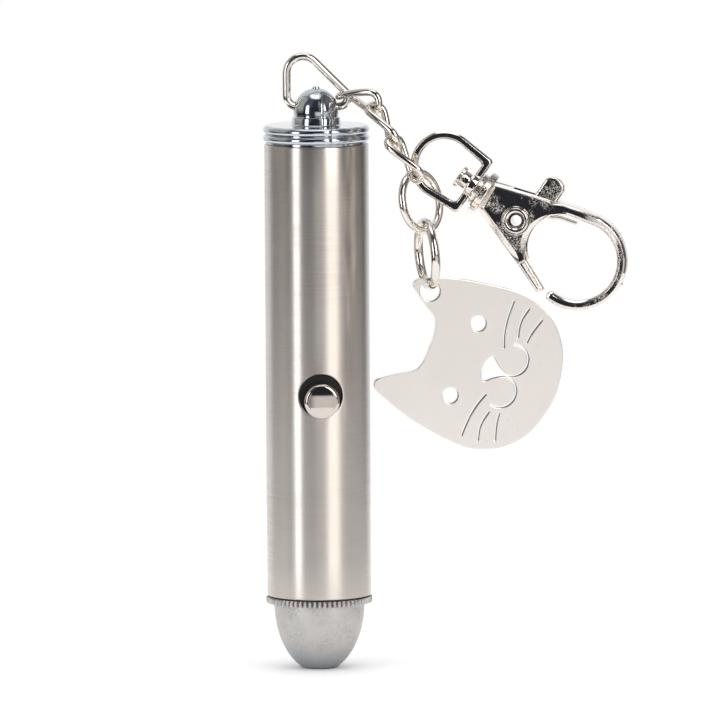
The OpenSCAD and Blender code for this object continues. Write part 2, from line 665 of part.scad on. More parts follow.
module clasp_rivet() color(nickel) on_clasp() translate([pivot[0], 0, pivot[1]]) rotate([90, 0, 0])
    difference() {
        union() {
            cylinder(d = rivet_d, h = claw_t + 0.6, center = true);
            for (s = [-1, 1]) translate([0, 0, s * (claw_t / 2 + 0.21)])
                cylinder(d = rivet_head_d, h = 0.4, center = true);
        }
        cylinder(d = rivet_hole_d, h = 9, center = true);
    }

// gate lever: pivot eye, thumb tab and gate bar in one piece, with a pocket for the spring
module lever_outline() polygon([[9.09, 3], [9.09, 6.6], [9.5, 7.2], [10.3, 7.54], [10.9, 7.54],
    [11.65, 7.2], [12.05, 6.6], [12.05, 4.6], [11.3, 2.6], [10.97, 0.2], [10.85, -1], [12.2, -3.1],
    [13.33, -3.95], [17.63, -5.79], [16.8, -6.66], [12.85, -5.16], [6.5, -3.03], [6.5, -2.5],
    [7.6, -1.4], [7.22, -0.6], [7.2, 0.1], [7.5, 0.9], [8.2, 1.6]]);
module spring_pocket() {
    translate(pivot) circle(r = 1.75);
    polygon([pivot, pivot + [0.2, 1.7], [12.6, 3.6], [13.2, 2.4], pivot + [1.7, 0]]);
    polygon([pivot + [-1.7, -0.3], pivot + [0.4, -1.7], [12.4, -4.1], [12.6, -3.4], pivot + [1.6, -0.9]]);
}
module gate_lever() color(nickel) on_clasp() difference() {
    plate(lever_t) lever_outline();
    translate([0, -lever_t / 2, 0]) plate(1.1) spring_pocket();
    translate([pivot[0], 5, pivot[1]]) rotate([90, 0, 0]) cylinder(d = rivet_d + 2 * fit, h = 10);
}

// gate spring: one bend round the rivet, a leg under the hook's arm and a leg on the gate bar
spring_r = 1.3;
gate_path = concat([[15.9, 4.1], [13.7, 3.45], [12.9, 2.95]],
    [for (i = [0 : 14]) pivot + spring_r * [cos(75 + i * 14.5), sin(75 + i * 14.5)]],
    [[10.3, -2.15], [12.1, -3.55]]);
module gate_spring() color(steel) on_clasp()
    tube_from(flat_rings(gate_path, -0.5, gate_wire, 8), false);

echo(lens_spring_gap = coil_gap(2.85, 2.85, lens_spring_low, lens_spring_top, coil_turns,
    lens_spring_wire));
echo(contact_spring_gap = coil_gap(2.1, 4.3, spring_low + contact_wire / 2,
    spring_top - contact_wire / 2, coil_turns, contact_wire));

barrel_tube();
nose_cap();
nose_gasket();
lens_nut();
collimating_lens();
lens_spring();
module_housing();
laser_diode();
module_carrier();
circuit_board();
board_components();
switch_body();
switch_plunger();
push_button();
board_contact();
battery_sleeve();
front_cell();
middle_cell();
rear_cell();
contact_spring();
rear_cap();
triangle_ring();
first_link();
second_link();
third_link();
jump_ring();
charm_ring();
cat_charm();
swivel_eye();
clasp_claw();
clasp_rivet();
gate_lever();
gate_spring();
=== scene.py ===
"""Looks of a key-chain cat laser pointer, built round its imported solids.

Lengths inside the classes are millimetres, and a mesh is written in metres. Z runs up the
barrel from the nose tip, the button faces -Y and the chain hangs on the +X side.
"""

import logging
import math
from collections.abc import Callable
from dataclasses import dataclass
from enum import Enum

import bmesh
import bpy
import numpy as np
from mathutils import Matrix, Vector, geometry

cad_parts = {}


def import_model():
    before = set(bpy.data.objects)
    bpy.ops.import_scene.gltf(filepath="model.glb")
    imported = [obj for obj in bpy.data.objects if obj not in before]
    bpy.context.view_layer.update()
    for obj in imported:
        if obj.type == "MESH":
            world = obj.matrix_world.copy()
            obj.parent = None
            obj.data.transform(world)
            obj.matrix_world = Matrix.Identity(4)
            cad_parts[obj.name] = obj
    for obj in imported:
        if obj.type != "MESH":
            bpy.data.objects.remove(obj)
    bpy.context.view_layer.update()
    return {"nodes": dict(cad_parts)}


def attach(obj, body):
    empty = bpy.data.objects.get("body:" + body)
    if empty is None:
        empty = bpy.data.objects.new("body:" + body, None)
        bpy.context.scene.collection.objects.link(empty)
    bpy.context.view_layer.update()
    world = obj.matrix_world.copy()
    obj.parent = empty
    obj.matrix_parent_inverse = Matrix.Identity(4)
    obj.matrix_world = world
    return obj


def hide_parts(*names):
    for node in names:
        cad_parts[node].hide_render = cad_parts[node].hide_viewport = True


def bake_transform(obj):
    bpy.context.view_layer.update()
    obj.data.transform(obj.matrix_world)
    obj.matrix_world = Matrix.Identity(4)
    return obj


LOG = logging.getLogger("cat_pointer")
MM = 0.001
TAU = 2 * math.pi
POLE = 1e-4  # radius at which a turned profile meets its axis
THREAD_DEPTH = 0.24
BRUSH_TURN = 0.25  # turns between the tangent and the brush marks
STAIN_RANGE, GLOSS_RANGE = (0.35, 0.65), (0.3, 0.7)  # of the grain
PATCH_RANGE, STIPPLE_RANGE = (0.2, 0.75), (0.38, 0.64)  # of the noises of worn metal
WHITE, WARM, COOL = (1.0, 1.0, 1.0), (1.0, 0.94, 0.87), (0.8, 0.9, 1.1)

Array = np.ndarray
Pair = tuple[float, float]
Triple = tuple[float, float, float]
Piece = bpy.types.Object
Node = bpy.types.Node
Socket = bpy.types.NodeSocket
Tree = bpy.types.NodeTree
Names = tuple[str, str, str]
Value = Socket | float | tuple[float, ...]
Inputs = dict[str | int, Value]


class Crease(Enum):
    """Angles in degrees past which an edge stays sharp."""

    FACET = 20.0
    CAST = 28.0
    PLAIN = 32.0
    TURNED = 40.0


def unit(v: Array) -> Array:
    """Vectors of length one along the last axis."""
    v = np.asarray(v, float)
    return v / np.linalg.norm(v, axis=-1, keepdims=True)


def across(v: Array, along: Array) -> Array:
    """The part of v square to along, of length one."""
    v, along = np.asarray(v, float), np.asarray(along, float)
    return unit(v - (v * along).sum(-1, keepdims=True) * along)


def turns(count: int) -> Array:
    """Evenly spaced angles of one turn, without the last."""
    return np.arange(count) * TAU / count


def band(x: Array, low: float, high: float, soft: float) -> Array:
    """One between two limits and nothing outside them, with soft edges of a width."""
    return np.clip((x - low) / soft + 0.5, 0, 1) * np.clip((high - x) / soft + 0.5, 0, 1)


def arc(mid: Pair, radius: float, start: float, end: float, count: int) -> Array:
    """Points of a circle: mid + radius (cos, sin) between two angles in degrees.

    Args:
        mid: centre of the circle.
        radius: its radius.
        start: first angle.
        end: last angle.
        count: number of points.

    Returns:
        Array of count points in the plane.
    """
    a = np.radians(np.linspace(start, end, count))
    return np.asarray(mid, float) + radius * np.stack([np.cos(a), np.sin(a)], -1)


def circle(mid: Pair, radius: float, count: int) -> Array:
    """Points of a whole circle, against the clock."""
    return arc(mid, radius, 0, 360, count + 1)[1:]


def rounded(corners: Array | list[Pair], radius: list[float] | float, steps: int = 5) -> Array:
    """Closed polygon with soft corners: p becomes (1-t)^2 s + 2t(1-t) p + t^2 e.

    Args:
        corners: the polygon's points.
        radius: fillet radius of every corner or of each.
        steps: spans of one corner.

    Returns:
        Array of points; s and e lie on the sides, where the fillet touches them.
    """
    p = np.asarray(corners, float)
    back, ahead = np.roll(p, 1, 0) - p, np.roll(p, -1, 0) - p
    back_len, ahead_len = np.linalg.norm(back, axis=1), np.linalg.norm(ahead, axis=1)
    back, ahead = back / back_len[:, None], ahead / ahead_len[:, None]
    half = np.arccos(np.clip((back * ahead).sum(1), -1, 1)) / 2
    reach = np.broadcast_to(np.asarray(radius, float), half.shape) / np.maximum(np.tan(half), 1e-4)
    reach = np.minimum(reach, 0.45 * np.minimum(back_len, ahead_len))[:, None]
    t = np.linspace(0, 1, steps + 1)[None, :, None]
    s, e = (p + back * reach)[:, None], (p + ahead * reach)[:, None]
    return without_repeats(((1 - t) ** 2 * s + 2 * t * (1 - t) * p[:, None] + t**2 * e).reshape(-1, 2))


def without_repeats(loop: Array) -> Array:
    """A closed loop without points that repeat the one before."""
    return loop[np.linalg.norm(loop - np.roll(loop, 1, 0), axis=1) > 1e-5]


def through(points: Array, first: Pair, last: Pair, steps: int) -> Array:
    """Smooth curve through points, a cubic of four neighbours for each span.

    Args:
        points: points to pass.
        first: point before the first.
        last: point after the last.
        steps: steps for each span.

    Returns:
        Array of points, the last given point included.
    """
    p = np.vstack([[first], points, [last]])
    a, b, c, d = (p[i : len(p) - 3 + i, None] for i in range(4))
    t = (np.arange(steps) / steps)[None, :, None]
    q = 0.5 * (2 * b + (c - a) * t + (2 * a - 5 * b + 4 * c - d) * t**2 + (3 * b - a - 3 * c + d) * t**3)
    return np.vstack([q.reshape(-1, 2), points[-1:]])


def stepped(corners: Array, counts: tuple[int, ...]) -> Array:
    """Straight sides a + t (b - a) between corners, without the last corner.

    Args:
        corners: the corners in order.
        counts: steps of each side.

    Returns:
        Array of points.
    """
    sides = zip(corners, corners[1:], counts)
    return np.vstack([a + (b - a) * np.linspace(0, 1, n, endpoint=False)[:, None] for a, b, n in sides])


def spread(path: Array, count: int) -> Array:
    """A path's points put at equal steps along it.

    Args:
        path: points in the plane.
        count: number of the new points.

    Returns:
        Array of count points.
    """
    far = np.r_[0, np.cumsum(np.linalg.norm(np.diff(path, axis=0), axis=1))]
    at = np.linspace(0, far[-1], count)
    return np.stack([np.interp(at, far, path[:, i]) for i in range(2)], -1)


def between(outer: Array, inner: Array, share: Array) -> Array:
    """Points that lie a share of the way from each point of one edge to its partner on another."""
    return outer[:, None] + (inner - outer)[:, None] * share[..., None]


def wound(loop: Array, against_clock: bool) -> Array:
    """A loop, turned round where its sense isn't the one asked for.

    Args:
        loop: the loop's points.
        against_clock: the sense.

    Returns:
        The points in that sense, by the sign of the loop's area.
    """
    x, y = loop.T
    area = float((x * np.roll(y, -1) - np.roll(x, -1) * y).sum())
    return loop if (area > 0) == against_clock else loop[::-1]


def inset(loop: Array, by: Array | float) -> Array:
    """A closed loop moved to its left, along the mitre of its sides.

    Args:
        loop: the loop's points.
        by: distance of every point or of each.

    Returns:
        The moved points.
    """
    side = unit(np.roll(loop, -1, 0) - loop)
    left = np.stack([-side[:, 1], side[:, 0]], -1)
    before = np.roll(left, 1, 0)
    mitre = (left + before) / np.maximum(1 + (left * before).sum(1), 0.35)[:, None]
    return loop + by * mitre


def edge_rows(low: float, high: float, width: float, depth: float, power: float, count: int = 6) -> Array:
    """Rows of a plate's rim: inset = width (1 - sin^p), height = depth (1 - cos^p) at both faces.

    Args:
        low: lower face.
        high: upper face.
        width: inset of the faces.
        depth: depth of the edge.
        power: 1 gives a round edge and 2 a straight bevel.
        count: rows of one edge.

    Returns:
        Array of (inset, height) from the lower to the upper face.
    """
    a = np.linspace(0, math.pi / 2, count)
    side, rise = width * (1 - np.sin(a) ** power), depth * (1 - np.cos(a) ** power)
    return np.stack([np.r_[side, side[::-1]], np.r_[low + rise, (high - rise)[::-1]]], -1)


def sharp_rows(low: float, high: float) -> Array:
    """Rows of a rim whose edges are as good as sharp."""
    return edge_rows(low, high, 0.001, 0.001, 1, 2)


def bar_section(width: float, half: float, bevel: float, soft: float) -> Array:
    """Section of a bevelled bar as (share of its width, height), round a closed loop.

    Args:
        width: width of the bar.
        half: half its thickness.
        bevel: size of the bevels.
        soft: rounding of the bevels' edges.

    Returns:
        Array of points.
    """
    b, w = bevel, width
    rising = [(0, -half + b), (0, half - b), (b, half), (w - b, half)]
    falling = [(w, half - b), (w, -half + b), (w - b, -half), (b, -half)]
    return rounded(rising + falling, soft, 3) / [width, 1]


def spun(profile: Array | list[Pair], columns: Array, swell: Array | float = 0.0) -> Array:
    """Surface of revolution: (r cos a, r sin a, h) for each (r, h) and angle a.

    Args:
        profile: points (r, h).
        columns: angles in radians.
        swell: what is added to r, for each row and column.

    Returns:
        Grid of points.
    """
    profile = np.asarray(profile, float)
    r = profile[:, :1] + np.zeros_like(columns)[None] + swell
    h = profile[:, 1:] + np.zeros_like(r)
    return np.stack([r * np.cos(columns), r * np.sin(columns), h], -1)


def tube(path: Array, normal: Array, radius: Array | float, sides: int, closed: bool) -> Array:
    """Round wire: path + radius (n cos + b sin), b square to the path and to n.

    Args:
        path: middle line.
        normal: a direction across the path, for each point.
        radius: radius of every point or of each.
        sides: points of one ring.
        closed: whether the path ends where it starts.

    Returns:
        Grid of points.
    """
    if closed:
        along = unit(np.roll(path, -1, 0) - np.roll(path, 1, 0))
    else:
        along = unit(np.gradient(path, axis=0) + 1e-12)
    n = across(np.broadcast_to(normal, path.shape), along)
    b = np.cross(along, n)
    a = turns(sides)[None, :, None]
    r = np.broadcast_to(np.asarray(radius, float), (len(path),))[:, None, None]
    return path[:, None] + r * (n[:, None] * np.cos(a) + b[:, None] * np.sin(a))


def blunt(path: Array, radius: float, edge: float) -> tuple[Array, Array]:
    """Ends of an open wire: both end points again, with the radius falling to nothing.

    Args:
        path: middle line.
        radius: radius of the wire.
        edge: rounding of the ends.

    Returns:
        The longer path and the radius at each of its points.
    """
    fall = np.array([POLE, radius - edge, radius - 0.3 * edge])
    step = np.array([0.0, 0.02, 0.3])[:, None] * edge
    head = path[0] + step * unit(path[1] - path[0])
    tail = path[-1] + step[::-1] * unit(path[-2] - path[-1])
    return np.vstack([head, path[1:-1], tail]), np.r_[fall, np.full(len(path) - 2, radius), fall[::-1]]


def thread(z: Array, a: Array, low: float, high: float) -> Array:
    """Dip of a one millimetre thread: a rounded wave of z - a / turn, faded at both ends.

    Args:
        z: heights.
        a: angles in radians.
        low: where the thread starts.
        high: where it ends.

    Returns:
        What is added to the radius, for each height and angle.
    """
    wave = 0.5 - 0.5 * np.cos(TAU * (z - a / TAU))
    return -THREAD_DEPTH * wave**0.7 * np.clip((z - low) / 0.5, 0, 1) * np.clip((high - z) / 0.4, 0, 1)


def quads(n: int, m: int, wrap_u: bool, wrap_v: bool) -> Array:
    """Faces of a grid: (i, j), (i + 1, j), (i + 1, j + 1), (i, j + 1).

    Args:
        n: points along the first index.
        m: points along the second.
        wrap_u: whether the first index is closed.
        wrap_v: whether the second is.

    Returns:
        For each face, the numbers of its four points.
    """
    i, j = np.meshgrid(np.arange(n - (not wrap_u)), np.arange(m - (not wrap_v)), indexing="ij")
    i2, j2 = (i + 1) % n, (j + 1) % m
    return np.stack([i * m + j, i2 * m + j, i2 * m + j2, i * m + j2], -1).reshape(-1, 4)


@dataclass(frozen=True)
class Place:
    """A local frame: turned about Z, then tilted about Y, and put at a point."""

    origin: Triple
    turn: float
    tilt: float

    def axes(self) -> Array:
        """The tilt about Y, carried round by the turn about Z.

        Returns:
            The frame's axes as columns.
        """
        t, y = math.radians(self.tilt), math.radians(self.turn)
        lean = np.array([[math.cos(t), 0, math.sin(t)], [0, 1, 0], [-math.sin(t), 0, math.cos(t)]])
        spin = np.array([[math.cos(y), -math.sin(y), 0], [math.sin(y), math.cos(y), 0], [0, 0, 1]])
        return spin @ lean

    def put(self, points: Array) -> Array:
        """Points of this frame in the object's frame."""
        return np.asarray(points, float) @ self.axes().T + np.asarray(self.origin, float)

    def upright(self, flat: Array, depth: Array | float) -> Array:
        """Points of the frame's X and Z plane, at a depth along its Y."""
        depth = np.broadcast_to(depth, flat.shape[:-1])
        return self.put(np.stack([flat[..., 0], depth, flat[..., 1]], -1))


def placed(name: str, data: bpy.types.ID) -> Piece:
    """Puts a new object with some data into the scene.

    Args:
        name: the object's name.
        data: its mesh, camera or lamp.

    Returns:
        The object.
    """
    obj = bpy.data.objects.new(name, data)
    bpy.context.scene.collection.objects.link(obj)
    return obj


class Skin:
    """Gathers patches of a surface and makes one mesh of them."""

    def __init__(self) -> None:
        """Starts with nothing."""
        self.points: list[Array] = []
        self.faces: list[list[int]] = []
        self.smooth: list[bool] = []
        self.count = 0

    def add(self, points: Array, faces: Array, smooth: bool = True) -> None:
        """Adds points, and faces that count from the first of them.

        Args:
            points: the points, in any arrangement.
            faces: for each face, the numbers of its points.
            smooth: whether the faces are shaded smooth.
        """
        self.points.append(points.reshape(-1, 3))
        self.faces += (faces + self.count).tolist()
        self.smooth += [smooth] * len(faces)
        self.count += len(self.points[-1])

    def grid(self, p: Array, wrap_u: bool = False, wrap_v: bool = False) -> None:
        """Adds a grid of points as quads, closed along its first or second index."""
        self.add(p, quads(*p.shape[:2], wrap_u, wrap_v))

    def plate(self, loops: list[Array], rows: Array, place: Place,
              share: list[Array] | None = None) -> None:
        """Adds a plate: its rim is the rows carried round each loop, its faces are filled.

        Args:
            loops: outline against the clock, then holes with it.
            rows: (inset, height) from one face to the other.
            place: the plate lies in its X and Z plane.
            share: for each loop, the share of the inset that each of its points takes.
        """
        share = share or [np.ones((len(loop), 1)) for loop in loops]
        for loop, part in zip(loops, share):
            rim = np.stack([place.upright(inset(loop, s * part), h) for s, h in rows])
            self.grid(rim, wrap_v=True)
        for s, h in (rows[0], rows[-1]):
            flat = [inset(loop, s * part) for loop, part in zip(loops, share)]
            found = geometry.tessellate_polygon([[Vector((*p, 0)) for p in loop] for loop in flat])
            self.add(place.upright(np.vstack(flat), h), np.array(found, int), smooth=False)

    def make(self, name: str, crease: Crease = Crease.PLAIN) -> Piece:
        """Makes the object: patches joined, normals outwards, edges sharp past an angle.

        Args:
            name: the object's name.
            crease: the angle.

        Returns:
            The new object.
        """
        mesh = bpy.data.meshes.new(name)
        mesh.from_pydata(np.vstack(self.points) * MM, [], self.faces)
        mesh.polygons.foreach_set("use_smooth", np.array(self.smooth, bool))
        joined = bmesh.new()
        joined.from_mesh(mesh)
        bmesh.ops.remove_doubles(joined, verts=joined.verts, dist=0.001 * MM)
        bmesh.ops.dissolve_degenerate(joined, edges=joined.edges, dist=0.0002 * MM)
        bmesh.ops.recalc_face_normals(joined, faces=joined.faces)
        joined.to_mesh(mesh)
        joined.free()
        obj = placed(name, mesh)
        soften(obj, crease)
        return obj


def shell(name: str, points: Array, wrap_u: bool = False, crease: Crease = Crease.PLAIN) -> Piece:
    """Makes an object of one grid that is closed along its second index.

    Args:
        name: the object's name.
        points: the grid.
        wrap_u: whether its first index is closed too.
        crease: the angle past which edges stay sharp.

    Returns:
        The new object.
    """
    skin = Skin()
    skin.grid(points, wrap_u, wrap_v=True)
    return skin.make(name, crease)


def soften(obj: Piece, crease: Crease) -> None:
    """Marks an object's edges past an angle as sharp, and keeps its flat faces flat.

    Args:
        obj: the object.
        crease: the angle.
    """
    smooth = np.empty(len(obj.data.polygons), bool)
    obj.data.polygons.foreach_get("use_smooth", smooth)
    obj.data.set_sharp_from_angle(angle=math.radians(crease.value))
    obj.data.polygons.foreach_set("use_smooth", smooth)


def cut(obj: Piece, tool: Piece, crease: Crease) -> None:
    """Takes one object out of another and removes the first.

    Args:
        obj: the object that stays.
        tool: the one that is taken out of it.
        crease: the angle past which edges stay sharp.
    """
    step = obj.modifiers.new("bore", "BOOLEAN")
    step.operation, step.solver, step.object, step.use_self = "DIFFERENCE", "EXACT", tool, True
    shape = obj.evaluated_get(bpy.context.evaluated_depsgraph_get())
    mesh = bpy.data.meshes.new_from_object(shape)
    obj.modifiers.clear()
    obj.data = mesh
    bpy.data.objects.remove(tool)
    soften(obj, crease)


def feed(tree: Tree, node: Node, inputs: Inputs) -> None:
    """Fills inputs of a shader node.

    Args:
        tree: where the node is.
        node: the node.
        inputs: by name or number, a value or the socket that it comes from.
    """
    for key, value in inputs.items():
        if isinstance(value, Socket):
            tree.links.new(value, node.inputs[key])
        else:
            node.inputs[key].default_value = value


def add_node(tree: Tree, kind: str, inputs: Inputs, **options: object) -> Node:
    """Adds a shader node.

    Args:
        tree: where it goes.
        kind: its type.
        inputs: what fills its inputs.
        options: its own settings.

    Returns:
        The node.
    """
    node = tree.nodes.new(f"ShaderNode{kind}")
    for name, value in options.items():
        setattr(node, name, value)
    feed(tree, node, inputs)
    return node


def calc(tree: Tree, operation: str, *values: Value) -> Socket:
    """The result of a sum with values or sockets."""
    return add_node(tree, "Math", dict(enumerate(values)), operation=operation).outputs[0]


def mixed(tree: Tree, share: Socket, colour: Socket, other: Value) -> Socket:
    """A colour mixed towards another by a share."""
    return add_node(tree, "Mix", {"Factor": share, 6: colour, 7: other}, data_type="RGBA").outputs[2]


def ramp(tree: Tree, value: Socket, limits: Pair, to: Pair = (0.0, 1.0), smooth: bool = False) -> Socket:
    """Carries a value from one range to another, and stops at its ends.

    Args:
        tree: where the node goes.
        value: the value.
        limits: ends of its range.
        to: ends of the new range.
        smooth: whether the ends are gentle.

    Returns:
        The new value.
    """
    ends = {"From Min": limits[0], "From Max": limits[1], "To Min": to[0], "To Max": to[1]}
    kind = "SMOOTHSTEP" if smooth else "LINEAR"
    return add_node(tree, "MapRange", {"Value": value, **ends}, interpolation_type=kind).outputs["Result"]


def raised(tree: Tree, height: Socket, relief: float, under: Inputs) -> Inputs:
    """The normal of a height, with its relief in millimetres, on top of another normal or none."""
    bump = {"Strength": 1.0, "Distance": relief * MM, "Height": height, **under}
    return {"Normal": add_node(tree, "Bump", bump).outputs["Normal"]}


class Effect(Enum):
    """Shader effects that several finishes share, with the names of their groups."""

    GRAIN = "surface_grain"
    STAIN = "cloudy_stain"
    PITS = "cast_pits"


SOCKETS: dict[Effect, tuple[dict[str, str], dict[str, str]]] = {
    Effect.GRAIN: ({"Vector": "Vector", "Stretch": "Vector"}, {"Grain": "Float"}),
    Effect.STAIN: (
        {"Vector": "Vector", "Scale": "Float", "Amount": "Float", "Colour": "Color", "Tint": "Color"},
        {"Colour": "Color", "Mask": "Float"}),
    Effect.PITS: ({"Vector": "Vector", "Scale": "Float"}, {"Height": "Float"}),
}


def shader_group(effect: Effect) -> Tree:
    """The node group of an effect, made at its first use.

    Args:
        effect: which one.

    Returns:
        The group. Grain is noise of a stretched vector; stain mixes two colours by slow
        noise; pits are the dips between the cells of a noise.
    """
    found = bpy.data.node_groups.get(effect.value)
    if found:
        return found
    tree = bpy.data.node_groups.new(effect.value, "ShaderNodeTree")
    for way, sockets in zip(("INPUT", "OUTPUT"), SOCKETS[effect]):
        for name, kind in sockets.items():
            tree.interface.new_socket(name, in_out=way, socket_type=f"NodeSocket{kind}")
    start, end = tree.nodes.new("NodeGroupInput"), tree.nodes.new("NodeGroupOutput")
    given = {name: start.outputs[name] for name in SOCKETS[effect][0]}
    if effect is Effect.GRAIN:
        factors = {0: given["Vector"], 1: given["Stretch"]}
        vector = add_node(tree, "VectorMath", factors, operation="MULTIPLY").outputs[0]
        noise = {"Vector": vector, "Scale": 1.0, "Detail": 4, "Roughness": 0.6}
        feed(tree, end, {"Grain": add_node(tree, "TexNoise", noise).outputs["Fac"]})
        return tree
    detail, limits = (2, (0.3, 0.46)) if effect is Effect.PITS else (5, (0.35, 0.7))
    noise = {"Vector": given["Vector"], "Scale": given["Scale"], "Detail": detail}
    mask = ramp(tree, add_node(tree, "TexNoise", noise).outputs["Fac"], limits, smooth=True)
    if effect is Effect.PITS:
        feed(tree, end, {"Height": mask})
        return tree
    share = calc(tree, "MULTIPLY", mask, given["Amount"])
    feed(tree, end, {"Colour": mixed(tree, share, given["Colour"], given["Tint"]), "Mask": mask})
    return tree


@dataclass(frozen=True)
class Finish:
    """One finish: its colours, gloss, grain and relief. Scales count features in a metre."""

    name: str
    colour: Triple
    tint: Triple
    metallic: float = 1.0
    roughness: float = 0.2
    swing: float = 0.05
    stain_scale: float = 260.0
    stain: float = 0.35
    stretch: Triple = (3000.0, 3000.0, 3000.0)
    relief: float = 0.001
    pit_scale: float = 0.0
    pit_relief: float = 0.0
    anisotropy: float = 0.0
    coat: float = 0.0
    glass: float = 0.0
    # painted shade towards the foot: its colour, and the height where it fades out
    low: Triple = (0.0, 0.0, 0.0)
    tip_shade_to: float = 0.0
    wear: float = 0.0

    def material(self) -> bpy.types.Material:
        """The finish as a material, made at its first use.

        Returns:
            The material. Its grain sets the gloss, the relief and the amount of stain.
        """
        found = bpy.data.materials.get(self.name)
        if found:
            return found
        made = bpy.data.materials.new(self.name)
        made.use_nodes = True
        tree = made.node_tree
        where = tree.nodes.new("ShaderNodeTexCoord").outputs["Object"]
        grain = self.effect(tree, Effect.GRAIN, {"Vector": where, "Stretch": self.stretch})["Grain"]
        amount = ramp(tree, grain, STAIN_RANGE, (0.0, 2 * self.stain))
        stain = self.effect(tree, Effect.STAIN, {
            "Vector": where, "Scale": self.stain_scale, "Amount": amount,
            "Colour": (*self.colour, 1), "Tint": (*self.tint, 1)})
        colour = stain["Colour"]
        # painted shade, darker towards the foot
        if self.tip_shade_to:
            colour = self.tip_shaded(tree, colour, where)
        gloss = (max(self.roughness - self.swing, 0.0), self.roughness + self.swing)
        rough = ramp(tree, grain, GLOSS_RANGE, gloss)
        if self.wear:
            rough = self.worn(tree, stain["Mask"], grain, rough)
        normal = raised(tree, grain, self.relief, {})
        if self.pit_scale:
            pits = self.effect(tree, Effect.PITS, {"Vector": where, "Scale": self.pit_scale})["Height"]
            normal = raised(tree, pits, self.pit_relief, normal)
        feed(tree, tree.nodes["Principled BSDF"], {
            "Base Color": colour, "Roughness": rough, **normal, "Metallic": self.metallic,
            "Coat Weight": self.coat, "Transmission Weight": self.glass,
            "Anisotropic": self.anisotropy, "Anisotropic Rotation": BRUSH_TURN})
        return made

    def tip_shaded(self, tree: Tree, colour: Socket, where: Socket) -> Socket:
        """Mixes a colour towards the low one, the more so the nearer to the foot: painted shade.

        Args:
            tree: the material's nodes.
            colour: the colour.
            where: the object's coordinates.

        Returns:
            The mixed colour.
        """
        height = add_node(tree, "SeparateXYZ", {0: where}).outputs["Z"]
        share = ramp(tree, height, (0.0, self.tip_shade_to * MM), (1.0, 0.0), smooth=True)
        return mixed(tree, share, colour, (*self.low, 1))

    def worn(self, tree: Tree, slow: Socket, fine: Socket, rough: Socket) -> Socket:
        """Roughens in stippled patches, where a slow and a fine noise are both high.

        Args:
            tree: the material's nodes.
            slow: the noise of the patches.
            fine: the noise of the stipple.
            rough: roughness without wear.

        Returns:
            The roughness: rough + wear x patches x stipple.
        """
        patches = ramp(tree, slow, PATCH_RANGE, smooth=True)
        stipple = ramp(tree, fine, STIPPLE_RANGE, smooth=True)
        return calc(tree, "MULTIPLY_ADD", calc(tree, "MULTIPLY", patches, stipple), self.wear, rough)

    @staticmethod
    def effect(tree: Tree, effect: Effect, inputs: Inputs) -> bpy.types.NodeOutputs:
        """Puts a shared effect into a material, and gives its outputs."""
        return add_node(tree, "Group", inputs, node_tree=shader_group(effect)).outputs


def even(scale: float) -> Triple:
    """A grain's stretch that is the same in all directions."""
    return (scale, scale, scale)


NICKEL, NICKEL_TINT = (0.80, 0.755, 0.71), (0.70, 0.645, 0.59)

BRUSHED_STEEL = Finish(
    "brushed_barrel_steel", (0.62, 0.577, 0.541), (0.55, 0.502, 0.462), roughness=0.34, swing=0.06,
    stain_scale=90, stain=0.5, stretch=(220, 220, 5200), relief=0.002, anisotropy=0.85)
# The nose darkens bluish towards its tip: painted shade, the shadowed floor that the tip reflects.
CAST_NOSE = Finish(
    "cast_nose_metal", (0.545, 0.525, 0.51), (0.445, 0.44, 0.435), roughness=0.42, swing=0.08,
    stain_scale=420, stain=0.6, stretch=even(2600), relief=0.016, pit_scale=2400, pit_relief=0.01,
    low=(0.38, 0.395, 0.42), tip_shade_to=4.6)
CHROME = Finish(
    "chromed_cap", (0.56, 0.595, 0.64), (0.50, 0.535, 0.58), roughness=0.12, swing=0.03,
    stretch=even(700), relief=0.002)
BUTTON_CHROME = Finish(
    "chromed_button", (0.635, 0.575, 0.535), (0.595, 0.535, 0.495), roughness=0.05, swing=0.02,
    stretch=even(900), relief=0.001)
NICKEL_WIRE = Finish(
    "nickel_wire", NICKEL, (0.72, 0.665, 0.61), roughness=0.11, swing=0.03, stretch=even(1500),
    relief=0.0008)
NICKEL_CAST = Finish(
    "nickel_clasp_casting", NICKEL, NICKEL_TINT, roughness=0.08, swing=0.03, stretch=even(1500),
    relief=0.0008, pit_scale=1700, pit_relief=0.0016)
WORN_CAST = Finish(
    "nickel_worn_casting", NICKEL, NICKEL_TINT, roughness=0.07, swing=0.02, stain_scale=330,
    stretch=even(4600), relief=0.0004, pit_scale=1700, pit_relief=0.0016, wear=0.44)
SATIN_PLATE = Finish(
    "satin_charm_plate", (0.93, 0.88, 0.835), (0.87, 0.815, 0.77), roughness=0.24, swing=0.04,
    stain_scale=110, stretch=(9000, 900, 900), relief=0.0006)
# near-black finish of the walls of the charm's cut-outs: painted shade
HOLE_WALL_SHADE = Finish(
    "charm_hole_wall_shade", (0.06, 0.057, 0.054), (0.035, 0.033, 0.031), metallic=0.6, roughness=0.45, swing=0.1)
